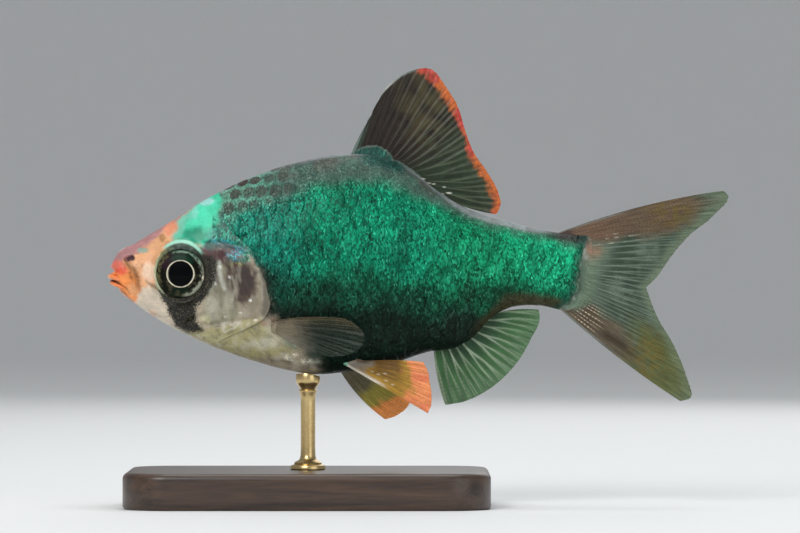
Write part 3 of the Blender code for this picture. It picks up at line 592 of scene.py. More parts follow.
def trunk_colour(points):
    """Green flanks: brown along the back, teal in front, leaf green behind, and darker to the belly.
    The darker belly is partly the fish's own colour and partly painted shade on the underside, and a
    pale line along the back's edge is painted rim light.
    """
    x, z = points[:, 0], points[:, 2]
    below_back = on_line(BACK_LINE, np.clip(x, -33.8, 20.0)) - z
    over_belly = z - on_line(BELLY_LINE, np.clip(x, -33.8, 18.4))
    wave = 0.8 * mottle(points, 2.2, 11) + 0.5 * mottle(points, 1.0, 12)
    fine, past = mottle(points, 0.28, 15), past_scales(points)
    dark_from = np.interp(x, [-20, -5, 3, 9, 18], [24.5, 24.0, 22.5, 23.2, 22.5])
    low = ramp(dark_from - 0.8, dark_from - 3.2, z + wave)
    band = np.interp(x, [-24, -15, -6, 0, 4, 18], [3.0, 3.3, 3.0, 2.2, 1.2, 0.9])
    on_back = ramp(band + 1.0, band - 0.8, below_back + 0.7 * wave)
    # A pale line along the back's edge is painted rim light.
    edge = np.interp(x, [-20, -8, 2, 6, 12, 14.5, 16], [0.22, 0.22, 0.3, 0.75, 0.6, 0.25, 0.0])
    rim_light = ramp(edge + 0.15, edge - 0.2, below_back + 0.1 * wave) * (edge > 0)
    under_fin = ramp(1.7, 0.9, below_back + 0.2 * wave) * ramp(-6.6, -5.4, x) * ramp(-0.8, -2.0, x)
    root = ramp(-0.2, 0.25, past + 0.22 * fine + 0.1 * wave)
    patchy = 0.26 * mottle(points * [1, 1, 0.5], 1.5, 16) + 0.20 * mottle(points * [1.4, 1, 0.5], 0.6, 17)
    colour = layered(
        ground("emerald", points),
        ("teal", 0.8 * ramp(-9.0, -17.0, x + wave)),
        ("leaf", 0.7 * ramp(-2.0, 8.0, x + wave)),
        ("stalk", 0.8 * ramp(8.0, 14.0, x + wave)),
        # The darkening towards the belly is partly the fish's own colour and partly painted shade on the
        # underside.
        ("deep", 0.85 * ramp(dark_from + 2.8, dark_from - 0.4, z + wave)),
        ("dusk", 0.9 * low),
    )
    colour = layered(
        colour * (1 + patchy)[:, None],
        ("belly", 0.85 * ramp(4.6, 2.2, over_belly + wave) * ramp(6.5, 3.5, x)),
        ("stalk_under", 0.85 * ramp(1.7, 0.7, over_belly + 0.5 * wave) * ramp(5.0, 8.0, x)),
        ("back", 0.85 * on_back),
        ("back_brown", 0.6 * ramp(band - 0.4, 0.4, below_back) * ramp(-0.2, 0.4, mottle(points, 1.3, 14))),
        # Painted rim light along the back's edge.
        ("edge", 0.8 * rim_light),
        ("fin_teal", 0.85 * under_fin),
        ("root_dark", 0.85 * ramp(13.2, 15.5, x) * ramp(1.2, 0.7, below_back + 0.3 * wave)),
        ("stalk_dark", 0.8 * ramp(-1.7, -0.3, past + 0.5 * wave + 0.4 * fine)),
    )
    sparkle = (1 - 0.55 * on_back) * (1 - 0.7 * ramp(1.6, 0.8, over_belly + 0.4 * wave)) * (1 - root)
    sparkle = sparkle * (1 - 0.9 * rim_light) * (1 - 0.5 * low)
    sparkle = sparkle * np.clip(0.84 + 0.4 * mottle(points * [1.2, 1, 0.6], 0.9, 43), 0.4, 1)
    return tail_root(colour, points, root), np.maximum(sparkle, 0.8 * under_fin)


def lids(points, colour, glitter):
    """Paints the raised lids: speckled teal above, dark behind, with a mint crest and a pale front line."""
    speckle = mottle(points, 0.22, 26)
    for side in (-1, 1):
        middle, ahead, up, outward = eye_axes(side)
        off = points - middle
        reach = np.hypot(off @ ahead, off @ up / LID_OVAL)
        near = side * points[:, 1] > 0.4
        high, fore = off @ up / np.maximum(reach, 0.1), off @ ahead / np.maximum(reach, 0.1)
        behind = np.maximum(ramp(-0.1, 0.35, -fore - 0.55 * high), ramp(0.55, 0.8, -high))
        upper = ramp(2.84, 2.72, reach) * ramp(-0.1, 0.5, high)
        front = ramp(3.0, 2.9, reach) * ramp(0.45, 0.8, fore + 0.2 * high)
        pale = ramp(0.15, 0.05, np.abs(reach - 2.80) + 0.03 * speckle)
        pale = pale * ramp(0.35, 0.8, fore * 0.9 - high * 0.35)
        crest = ramp(0.24, 0.08, np.abs(reach - 2.98) + 0.04 * speckle) * ramp(0.70, 0.95, high - 0.12 * fore)
        colour = layered(
            colour,
            ("lid_dark", 0.96 * near * ramp(2.86, 2.72, reach + 0.03 * speckle)),
            ("lid_teal", near * upper * (0.30 + 0.65 * ramp(-0.5, 0.4, speckle))),
            ("lid_moss", 0.8 * near * front * ramp(-0.3, 0.3, speckle)),
            ("lid_dark", 0.9 * near * ramp(3.2, 2.95, reach + 0.06 * speckle) * behind),
            ("lid_olive", 0.75 * near * ramp(0.10, 0.03, np.abs(reach - 2.76)) * ramp(0.2, 0.7, -high)),
            ("lid_pale", 0.9 * near * pale * ramp(-0.97, -0.75, high)),
            ("lid_mint", 0.95 * near * crest),
        )
        glitter = np.where(near * (reach < 3.0), 0, glitter)
    return colour, glitter


def markings(points):
    """Colour of the skin at points in millimetres, how much green glitter lies there, and the bar."""
    x, z = points[:, 0], points[:, 2]
    wander = np.stack([mottle(points, 0.8, 21), mottle(points, 0.8, 22)], axis=1)
    fine = np.stack([mottle(points, 0.3, 23), mottle(points, 0.3, 24)], axis=1)
    flat = points[:, [0, 2]] + 0.14 * wander + 0.05 * fine
    grainy = 0.6 * mottle(points, 0.3, 25) + 0.6 * mottle(points, 0.6, 27)
    colour = ground("cheek", points)
    for line, name, strength, soft in AREAS:
        depth = to_line(flat, line, closed=True) / (STEP * soft)
        colour = layered(colour, (name, strength * ramp(0.5, -0.5, depth + 0.4 * grainy)))
    streak = mottle(points * [1.4, 1, 0.5], 0.6, 28) + 0.5 * mottle(points * [1.6, 1, 0.6], 0.25, 35)
    in_plum = ramp(0.5, -0.6, to_line(flat, PLUM, closed=True))
    on_cover = ramp(-22.9, -22.0, x)
    by_jaw = soft_oval(points, -30.9, 25.7, 0.8, 1.5)
    freckle = ramp(0.45, 0.85, mottle(points, 0.22, 37) + 0.3 * wander[:, 0] + 0.5 * by_jaw)
    colour = layered(
        colour,
        ("silver", 0.35 * on_cover * (1 - 0.7 * in_plum) * ramp(0.35, 0.95, streak)),
        ("cover_shade", 0.45 * on_cover * ramp(0.25, 0.9, -streak)),
        ("jaw_brown", (0.3 + 0.4 * by_jaw) * freckle * ramp(-27.6, -29.4, x) * ramp(27.6, 26.4, z)),
    )
    dapple = 0.10 * mottle(points * [0.6, 1, 1.5], 0.45, 38) * ramp(-27.0, -28.5, x)
    colour = layered(
        colour * (1 + dapple)[:, None],
        ("plum_dark", 0.7 * in_plum * ramp(-0.1, 0.6, streak)),
        ("silver", 0.3 * in_plum * ramp(-0.1, -0.8, streak)),
    )
    for line, half, name, strength, soft in BANDS:
        off_line = to_line(flat, line) / STEP
        colour = layered(colour, (name, strength * ramp(half + 0.5 * soft, half - 0.5 * soft, off_line)))
    for *place, name, strength in SPOTS:
        if name not in SPECKLED:
            spot = ramp(1.3, 0.55, spot_reach(flat, *place) + 0.25 * grainy)
            colour = layered(colour, (name, strength * spot))
    behind = behind_gill(points) + 0.25 * wander[:, 0]
    breast_top = np.interp(x, [-16.8, -13.0, -9.7], [20.9, 19.5, 17.4]) + 0.5 * wander[:, 1]
    breast = ramp(0.9, -0.9, z - breast_top) * ramp(-9.6, -13.0, x + wander[:, 0])
    wrinkle = mottle(points, 0.7, 39) + 0.6 * mottle(points, 0.3, 40)
    cloudy = 0.10 * mottle(points, 0.8, 29) + 0.07 * mottle(points, 0.36, 30)
    colour = layered(
        colour * (1 + cloudy)[:, None],
        ("breast_white", 0.55 * breast * ramp(0.2, 0.9, wrinkle)),
        ("breast_dark", 0.45 * breast * ramp(0.25, 1.0, -wrinkle)),
    )
    over_head = ramp(0.4, -0.3, to_line(flat, NAPE, closed=True) + 0.3 * grainy)
    nape = np.maximum(ramp(-0.1, 0.25, behind), over_head) * (1 - 0.92 * breast)
    green, sparkle = trunk_colour(points)
    shadow = np.exp(-(((behind - 0.25) / 0.6) ** 2)) * ramp(20.0, 22.0, z) * ramp(28.8, 27.0, z)
    green = layered(green, ("gill_shadow", 0.6 * shadow))
    colour = colour + nape[:, None] * (green - colour)
    glitter = nape * sparkle
    flecks = ramp(-0.5, 0.3, mottle(points, 0.17, 36) + 0.5 * wander[:, 0])
    for *place, name, strength in SPOTS:
        if name in SPECKLED:
            reach = spot_reach(flat, *place)
            colour = layered(colour, (name, strength * flecks * ramp(1.5, 0.5, reach)))
            glitter = np.maximum(glitter, 0.9 * strength * flecks * ramp(1.6, 0.8, reach))
    thinner = 0.3 * ramp(23.4, 24.6, z) * ramp(-23.6, -22.9, x)
    bar = ramp(0.55, -0.45, to_line(flat, BAR, closed=True)) * (1 - thinner)
    return *lids(points, colour, glitter), bar

def maths(tree, operation, *values):
    """The output of a sum on numbers."""
    return add_node(tree, "ShaderNodeMath", dict(enumerate(values)), operation=operation).outputs[0]


def vectors(tree, operation, *values, **named):
    """The output of a sum on vectors."""
    sockets = dict(enumerate(values)) | named
    return add_node(tree, "ShaderNodeVectorMath", sockets, operation=operation).outputs[0]


def ranged(tree, value, low, high, start=0.0, end=1.0):
    """A value carried from one range to another, and held at its ends."""
    span = {"Value": value, "From Min": low, "From Max": high, "To Min": start, "To Max": end}
    return add_node(tree, "ShaderNodeMapRange", span).outputs[0]


def stored(tree, name, output="Fac"):
    """A number or a colour that the mesh keeps at each point."""
    return add_node(tree, "ShaderNodeAttribute", attribute_name=name).outputs[output]


def bumped(tree, height, strength, distance, **more):
    """A normal that follows a fine height."""
    sockets = {"Height": height, "Strength": strength, "Distance": distance} | more
    return add_node(tree, "ShaderNodeBump", sockets).outputs[0]


def spangle_group():
    """Flecks of pigment and guanine: each small cell turns its own way and has its own brightness."""
    group = bpy.data.node_groups.new("spangles", "ShaderNodeTree")
    for name in ("Vector", "Fleck Size", "Tilt", "Bright", "Dark", "Spark", "Normal"):
        kind = "Vector" if name in ("Vector", "Normal") else "Float"
        way = "INPUT" if name in ("Vector", "Fleck Size", "Tilt") else "OUTPUT"
        group.interface.new_socket(name, in_out=way, socket_type=f"NodeSocket{kind}")
    given, found = group.nodes.new("NodeGroupInput").outputs, group.nodes.new("NodeGroupOutput")
    place, middle = given["Vector"], (0.5, 0.5, 0.5)
    drift = vectors(group, "SUBTRACT", noise(group, place, 3600.0, output=1), middle)
    moved = vectors(group, "ADD", place, vectors(group, "SCALE", drift, Scale=0.00024))
    tall = vectors(group, "MULTIPLY", moved, (1.0, 1.0, 0.46))
    in_mm = vectors(group, "SCALE", tall, Scale=1000.0)
    size = maths(group, "DIVIDE", 1.0, given["Fleck Size"])
    cells = add_node(group, "ShaderNodeTexVoronoi", {"Vector": in_mm, "Scale": size}).outputs["Color"]
    tone = add_node(group, "ShaderNodeSeparateColor", {"Color": cells}).outputs
    lift = maths(group, "MULTIPLY_ADD", noise(group, place, 900.0), 0.9, tone["Red"])
    lean = vectors(group, "SCALE", vectors(group, "SUBTRACT", cells, middle), Scale=given["Tilt"])
    facing = add_node(group, "ShaderNodeNewGeometry").outputs["Normal"]
    feed(group, found, {
        "Bright": ranged(group, lift, 1.00, 1.32),
        "Dark": ranged(group, lift, 0.90, 0.58),
        "Spark": ranged(group, tone["Green"], 0.93, 0.98),
        "Normal": vectors(group, "NORMALIZE", vectors(group, "ADD", facing, lean)),
    })
    return group


spangles = spangle_group()


def scaly_skin(name, fleck, tilt, gloss, coat, grain_from, grain_to, plated=False):
    """Skin under clear varnish: painted colour with a fine grain, black pepper at the edges of the bar,
    and dark, pale and sparkling flecks where glitter lies, the sparkle being painted highlight. On scales,
    it also draws a dark blotch in the middle of each and a pale dash of painted highlight near its rear
    edge, by the scale's own layout.
    """
    material, tree, shader = new_material(
        name, Roughness=0.42, Coat_Weight=coat, Coat_Roughness=0.16, Specular_IOR_Level=gloss,
    )
    place, glitter = object_place(tree), stored(tree, "glitter")
    grain, dust = noise(tree, place, 5200.0, 3.0), noise(tree, place, 9500.0)
    flecks = add_node(tree, "ShaderNodeGroup", node_tree=spangles)
    feed(tree, flecks, {"Vector": place, "Fleck Size": fleck, "Tilt": maths(tree, "MULTIPLY", glitter, tilt)})
    shares = (flecks.outputs[key] for key in ("Dark", "Bright", "Spark"))
    dark, bright, spark = (maths(tree, "MULTIPLY", share, glitter) for share in shares)
    grained = ranged(tree, grain, 0.3, 0.7, grain_from, grain_to)
    skin_tone = vectors(tree, "SCALE", stored(tree, "paint", "Color"), Scale=grained)
    if plated:
        layout = add_node(tree, "ShaderNodeUVMap", uv_map="plate").outputs["UV"]
        off = vectors(tree, "MULTIPLY", vectors(tree, "SUBTRACT", layout, (0.69, 0.5, 0.0)), (3.7, 3.7, 0.0))
        reach = add_node(tree, "ShaderNodeVectorMath", {0: off}, operation="LENGTH").outputs["Value"]
        blot = ranged(tree, maths(tree, "MULTIPLY_ADD", grain, 1.0, reach), 1.65, 1.30)
        blot = maths(tree, "MULTIPLY", blot, stored(tree, "blotch"))
        skin_tone = mixed(tree, blot, skin_tone, (0.046, 0.030, 0.030, 1))
        ends = add_node(tree, "ShaderNodeSeparateXYZ", {"Vector": layout}).outputs
        off_rim = maths(tree, "ABSOLUTE", maths(tree, "SUBTRACT", ends["X"], 0.90))
        line = ranged(tree, maths(tree, "MULTIPLY_ADD", grain, 0.10, off_rim), 0.125, 0.085)
        off_middle = maths(tree, "ABSOLUTE", maths(tree, "SUBTRACT", ends["Y"], 0.5))
        drawn = maths(tree, "MULTIPLY", line, ranged(tree, off_middle, 0.22, 0.14))
        # The dash is a painted highlight near each scale's rear edge, laid on as sparkle.
        spark = maths(tree, "MAXIMUM", maths(tree, "MULTIPLY", drawn, stored(tree, "dash")), spark)
    soot = mixed(tree, ranged(tree, grain, 0.50, 0.70), (0.005, 0.005, 0.003, 1), (0.075, 0.066, 0.038, 1))
    pepper = ranged(tree, maths(tree, "MULTIPLY_ADD", dust, 1.9, stored(tree, "bar")), 1.28, 1.62)
    barred = mixed(tree, pepper, skin_tone, soot)
    shade = vectors(tree, "MULTIPLY", barred, (0.30, 0.36, 0.36))
    glow = vectors(tree, "MULTIPLY_ADD", barred, (2.2, 1.95, 1.9), (0.010, 0.028, 0.020))
    # flash is the colour of the painted sparkle: the spark flecks and the dashes.
    flash = vectors(tree, "MULTIPLY_ADD", glow, (1.5, 1.35, 1.5), (0.02, 0.04, 0.03))
    flecked = mixed(tree, bright, mixed(tree, dark, barred, shade), glow)
    feed(tree, shader, {
        "Base Color": mixed(tree, spark, flecked, flash),
        "Metallic": maths(tree, "MULTIPLY", bright, 0.35),
        "Normal": bumped(tree, grain, 0.10, 0.00003, Normal=flecks.outputs["Normal"]),
    })
    return material


def give(piece, **layers):
    """Stores a number, or a colour, for each point of a piece, by the layer's name."""
    for name, values in layers.items():
        colour = values.ndim > 1
        kind, field = ("FLOAT_COLOR", "color") if colour else ("FLOAT", "value")
        if colour:
            values = np.concatenate([values, np.ones((len(values), 1))], axis=1)
        layer = piece.data.attributes.new(name, kind, "POINT")
        layer.data.foreach_set(field, values.astype(np.float32).ravel())


def give_uv(piece, name, corners):
    """Stores a UV map, one place for each corner of each face."""
    layer = piece.data.uv_layers.new(name=name)
    layer.data.foreach_set("uv", corners.astype(np.float32).ravel())


skin_finish = scaly_skin("varnished_skin", 0.14, 0.5, 0.22, 0.20, 0.92, 1.08)
skin = new_piece("fish_skin", skin_points, skin_faces, skin_finish)
skin_colour, skin_glitter, skin_bar = markings(skin_points)
give(skin, paint=skin_colour, glitter=skin_glitter, bar=skin_bar)
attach(skin, "root")
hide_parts("head", "lower_jaw", "gill_cover_left", "gill_cover_right", "trunk", "tail_stalk")

# The unwrap: along the body in one direction, and round it from the back in the other.
UNWRAP_FROM, UNWRAP_LONG, UNWRAP_TIP = -35.0, 56.0, 0.004
u = (np.maximum.accumulate(rings[:, :, 0].mean(axis=1)) - UNWRAP_FROM) / UNWRAP_LONG
v = np.arange(AROUND + 1) / AROUND
sheet = np.stack(np.broadcast_arrays(u[:, None], v), axis=-1)
corners = [np.stack([sheet[:-1, :-1], sheet[:-1, 1:], sheet[1:, 1:], sheet[1:, :-1]], axis=2)]
for end, tip, (second, third) in ((u[0], -UNWRAP_TIP, (v[1:], v[:-1])), (u[-1], UNWRAP_TIP, (v[:-1], v[1:]))):
    fan = ((end + tip, (v[1:] + v[:-1]) / 2), (end, second), (end, third))
    corners.append(np.stack([np.stack(np.broadcast_arrays(*corner), axis=-1) for corner in fan], axis=1))
give_uv(skin, "OFBake", np.concatenate([part.reshape(-1, 2) for part in corners]))

# The lips: two soft orange rolls round the mouth, swept from one corner to the other, that meet in a
# slit darkened with painted shade. They taper into the cheek at both ends.
UPPER_LIP = [(-32.3, 24.70, 1.55), (-33.05, 25.02, 1.36), (-33.60, 25.22, 0.85), (-33.76, 25.26, 0.0)]
LOWER_LIP = [(-32.2, 23.96, 1.35), (-33.0, 24.28, 1.22), (-33.46, 24.54, 0.75), (-33.60, 24.62, 0.0)]
LIP_ALONG, LIP_AROUND = 72, 24


def lip_roll(line, thick):
    """A tube of round sections along a path that mirrors itself in the middle plane."""
    x, z, y = np.array(line + line[-2::-1]).T
    side = np.where(np.arange(len(x)) < len(line), -1, 1)
    path = along(np.stack([x, side * y, z], axis=1), np.linspace(0, 1, LIP_ALONG))
    run = unit(np.gradient(path, axis=0))
    across = unit(np.cross(run, [0.0, 0.0, 1.0]))
    over = np.cross(across, run)
    radius = thick * (1 - 0.6 * np.abs(np.linspace(-1, 1, LIP_ALONG)) ** 3)
    turn = around(LIP_AROUND)[None, :, None]
    circle = np.cos(turn) * across[:, None] + 0.82 * np.sin(turn) * over[:, None]
    tube = path[:, None] + radius[:, None, None] * circle
    return tube + 0.02 * mottle(tube.reshape(-1, 3), 0.3, 31).reshape(LIP_ALONG, LIP_AROUND, 1) * circle


upper_points, upper_faces = capped(lip_roll(UPPER_LIP, 0.36))
lower_points, lower_faces = capped(lip_roll(LOWER_LIP, 0.32))
lip_faces = upper_faces + [[len(upper_points) + n for n in face] for face in lower_faces]
lip_points = np.concatenate([upper_points, lower_points])
lips = new_piece("lips", lip_points, [face[::-1] for face in lip_faces], skin_finish)
COLOURS |= {"lip_orange": (240, 140, 84), "lip_pale": (238, 196, 160), "mouth_slit_shade": (96, 44, 22)}
lip_slit = np.interp(lip_points[:, 0], [-34.2, -33.2, -32.3], [24.90, 24.68, 24.32])
lip_colour = layered(
    ground("lip_orange", lip_points),
    ("lip_pale", 0.7 * ramp(-33.7, -34.1, lip_points[:, 0] + 0.1 * mottle(lip_points, 0.4, 33))),
    # Painted shade along the slit where the two lips meet.
    ("mouth_slit_shade", 0.9 * ramp(0.22, 0.06, np.abs(lip_points[:, 2] - lip_slit))),
)
give(lips, paint=lip_colour, glitter=np.zeros(len(lip_points)), bar=np.zeros(len(lip_points)))
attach(lips, "root")

# The scales: thin round plates that overlap towards the tail in staggered rows, each tucked under the
# one in front. They lie on the skin from the nape and gill line to the root of the tail fin.
PITCH, ROW_FRONT, ROW_BACK, ROWS = 1.5, 1.85, 1.45, 9
PLATE_LONG, PLATE_RISE, PLATE_EDGE, PLATE_SUNK = 2.6, 0.048, 0.026, 0.03
GIRTHS, SHARES, FROM_X, TO_X = 200, 161, -27.0, 19.4
girth_angle = np.linspace(0.0, math.pi, 241)
ring = body_at(np.linspace(FROM_X, TO_X, GIRTHS)[:, None], girth_angle)
lengths = np.linalg.norm(np.diff(ring, axis=1), axis=2)
run = np.concatenate([np.zeros((GIRTHS, 1)), np.cumsum(lengths, axis=1)], axis=1)
above, below = run[:, 120], run[:, -1] - run[:, 120]
shares = np.linspace(-1.0, 1.0, SHARES)
angle_table = np.array([
    np.interp(up - np.where(shares > 0, shares * up, shares * down), line, girth_angle)
    for up, down, line in zip(above, below, run)
])


def angle_over(x, height):
    """The angle round the left flank at a distance above the body's middle line, measured on the skin."""
    at = np.clip((x - FROM_X) / (TO_X - FROM_X) * (GIRTHS - 1), 0, GIRTHS - 1.001)
    i = at.astype(int)
    f = at - i
    reach = np.where(height > 0, above[i] * (1 - f) + above[i + 1] * f, below[i] * (1 - f) + below[i + 1] * f)
    share = height / reach
    inner = np.clip(share, -1, 1)
    place = (inner + 1) * (SHARES - 1) / 2
    j = np.clip(place.astype(int), 0, SHARES - 2)
    g = place - j
    found = (
        (angle_table[i, j] * (1 - g) + angle_table[i, j + 1] * g) * (1 - f)
        + (angle_table[i + 1, j] * (1 - g) + angle_table[i + 1, j + 1] * g) * f
    )
    return found - (share - inner) * reach / 2.2


draw = np.random.default_rng(7)
starts = [(k, -25.5 + 0.5 * PITCH * (k % 2)) for k in range(-ROWS, ROWS + 1)]
rows, columns = np.array([(k, x) for k, start in starts for x in np.arange(start, TAIL_ROOT_X - 0.1, PITCH)]).T
row_step = ROW_FRONT + (ROW_BACK - ROW_FRONT) * ramp(-6.0, 16.0, columns)
heights = rows * row_step
girth_at = np.clip((columns - FROM_X) / (TO_X - FROM_X) * (GIRTHS - 1), 0, GIRTHS - 1)
top, low = (np.interp(girth_at, np.arange(GIRTHS), side) for side in (above, below))
middles = body_at(columns, angle_over(columns, heights))
keep = (heights < top + 0.15 * row_step) & (heights > -low - 0.15 * row_step)
keep &= (behind_gill(middles) > 0.35) & (past_scales(middles) < -0.45)
middles, columns, heights, row_step = middles[keep], columns[keep], heights[keep], row_step[keep]
count = len(columns)

STEPS = np.array([0.0, 0.2, 0.4, 0.6, 0.77, 0.9, 1.0])
ALONG, ACROSS = len(STEPS), 8
a = STEPS[None, :, None]
b = np.linspace(-1, 1, ACROSS)[None, None, :]
bulge = 1 - 0.32 * np.abs(b) ** 2.6
stagger = 0.16 * draw.uniform(-1, 1, count) + 0.3 * draw.uniform(-1, 1, count) * ramp(12.0, 16.0, columns)
plate_x = (columns + stagger)[:, None, None] + PLATE_LONG * (a * bulge - 0.62)
wide = 0.80 + 0.20 * np.sin(math.pi * np.minimum(a * 0.95, 1.0))
plate_s = heights[:, None, None] + 0.86 * row_step[:, None, None] * b * wide
plate_angle = angle_over(plate_x.ravel(), plate_s.ravel()).reshape(count, ALONG, ACROSS)
on_breast = ramp(21.6, 19.6, middles[:, 2]) * ramp(-6.0, -11.0, columns)
past, depth = past_scales(middles), on_line(BACK_LINE, columns) - middles[:, 2]
smooth = np.maximum(on_breast, ramp(3.4, 2.2, depth) * ramp(-17.0, -12.0, columns))
smooth = np.maximum(smooth, 0.9 * ramp(-2.0, -0.9, past))[:, None, None]
lie = (1 - smooth) * (0.25 + 0.75 * ramp(-0.6, -4.0, past))[:, None, None]
arch = np.sin(math.pi * a)
rise = PLATE_RISE * a**1.3 * (1 - 0.35 * b**2) + 0.006 * draw.uniform(-1, 1, (count, 1, 1))
rise = rise + 0.010 * arch * (1 - b**2)
rise = lie * rise - PLATE_SUNK + 0.045 * smooth * arch * (1 - 0.5 * b**2)
plates = body_at(plate_x, plate_angle) + rise[..., None] * body_out(plate_x, plate_angle)
rim_x, rim_angle = plate_x[:, -1:], plate_angle[:, -1:]
rim_rise = rise[:, -1:] - PLATE_EDGE * (1 - 0.6 * smooth)
under = body_at(rim_x - 0.05, rim_angle) + rim_rise[..., None] * body_out(rim_x, rim_angle)
shell = np.concatenate([plates, under], axis=1)
per = (ALONG + 1) * ACROSS
left = np.arange(ALONG + 1) * ACROSS
right = left + ACROSS - 1
floor = np.stack([left[:-1], left[1:], right[1:], right[:-1]], axis=1)
plate_faces = grid_quads(ALONG + 1, ACROSS).tolist() + floor.tolist()
plate_faces += [list(range(ACROSS)), list(range(per - 1, per - ACROSS - 1, -1))]

COLOURS["nape_mint"] = (120, 208, 178)
scale_finish = scaly_skin("glittering_scales", 0.135, 0.5, 0.08, 0.05, 0.85, 1.15, plated=True)
patch_a = np.append(0.97 * STEPS, 1.0)
patch = np.stack(np.broadcast_arrays(patch_a[:, None], np.linspace(0, 1, ACROSS)), axis=-1)
for side, word in ((-1, "left"), (1, "right")):
    points = shell.reshape(-1, 3) * [1, -side, 1]
    x, z = points[:, 0], points[:, 2]
    order = [face[::-1] for face in plate_faces] if side < 0 else plate_faces
    faces = [[i * per + n for n in face] for i in range(count) for face in order]
    coat = new_piece(f"scales_{word}", points, faces, scale_finish)
    colour, glitter, bar = markings(points)
    tone = np.repeat(1 + draw.uniform(-0.16, 0.16, count) * (1 - 0.6 * on_breast), per)
    edge = np.tile(np.repeat(np.append(STEPS, 1.0), ACROSS), count)
    below_back = on_line(BACK_LINE, x) - z
    blotch = ramp(4.4, 3.0, below_back + 0.5 * mottle(points, 1.2, 71)) * ramp(5.0, -4.0, x)
    colour = layered(colour, ("nape_mint", 0.32 * blotch * ramp(-13.0, -18.0, x + mottle(points, 1.5, 72))))
    blotch = blotch * np.repeat(draw.uniform(0.65, 1, count), per) * (0.12 + 0.88 * ramp(-12.0, -17.0, x))
    dash = np.repeat(0.5 * ramp(0.3, 0.9, draw.uniform(0, 1, count)), per) * ramp(0.5, 0.85, glitter)
    dash = dash * ramp(-9.0, -2.0, x) * ramp(13.0, 8.0, x)
    flank = 1 - ramp(20.5, 18.5, z) * ramp(-8.0, -13.0, x)
    # Tone differs at random from plate to plate. The front of each plate, under the one ahead, gets painted
    # shade.
    shade = tone * (1 - 0.16 * flank * ramp(0.66, 0.35, edge))
    give(coat, paint=colour * shade[:, None], blotch=blotch, dash=dash, glitter=glitter, bar=bar)
    root_angle = angle_over(columns, heights)
    root_angle = root_angle if side < 0 else 2 * math.pi - root_angle
    root_uv = np.stack([(columns - UNWRAP_FROM) / UNWRAP_LONG, root_angle / (2 * math.pi)], axis=-1)
    corner_of = np.array([n for face in faces for n in face])
    give_uv(coat, "OFBake", (root_uv[:, None, None] + 0.003 * (patch - 0.5)).reshape(-1, 2)[corner_of])
    give_uv(coat, "plate", np.tile(patch, (count, 1, 1, 1)).reshape(-1, 2)[corner_of])
    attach(coat, "root")

# The eyes: glass domes painted from behind, a black pupil in a thin cream ring, and a dark iris with
# a few silvery arcs. Each sits in its socket, a little forward-looking.
EYE_PROFILE = [  # radius, height over the eye's plane
    (0.05, 0.985), (0.3, 0.98), (0.6, 0.965), (0.9, 0.94), (1.15, 0.915), (1.30, 0.895), (1.36, 0.89),
    (1.42, 0.905), (1.48, 0.91), (1.54, 0.905), (1.60, 0.88), (1.66, 0.85), (1.75, 0.83), (1.85, 0.81),
    (1.95, 0.78), (2.05, 0.75), (2.15, 0.715), (2.25, 0.68), (2.33, 0.65), (2.40, 0.62), (2.46, 0.59),
    (2.52, 0.55), (2.56, 0.51), (2.60, 0.47), (2.64, 0.42), (2.67, 0.36), (2.70, 0.2), (2.55, -0.1),
    (1.7, -0.45), (0.4, -0.6),
]
IRIS_MIDDLE = np.array([-25.98, 25.55])
COLOURS |= {
    "pupil": (1, 2, 3), "iris": (15, 16, 11), "iris_brown": (74, 68, 50), "iris_green": (10, 50, 32),
    "iris_plum": (50, 34, 42), "ring": (250, 242, 216), "arc": (156, 160, 142),
    "arc_green": (126, 158, 136), "iris_olive": (122, 120, 80), "eye_edge": (30, 28, 22),
}
eye_glass, tree, shader = new_material(
    "painted_eye_glass", Roughness=0.35, Coat_Weight=0.05, Coat_Roughness=0.03, Specular_IOR_Level=0.04,
)
fibre = ranged(tree, noise(tree, object_place(tree), 6000.0, 3.0), 0.3, 0.7, 0.75, 1.25)
feed(tree, shader, {"Base Color": vectors(tree, "SCALE", stored(tree, "paint", "Color"), Scale=fibre)})


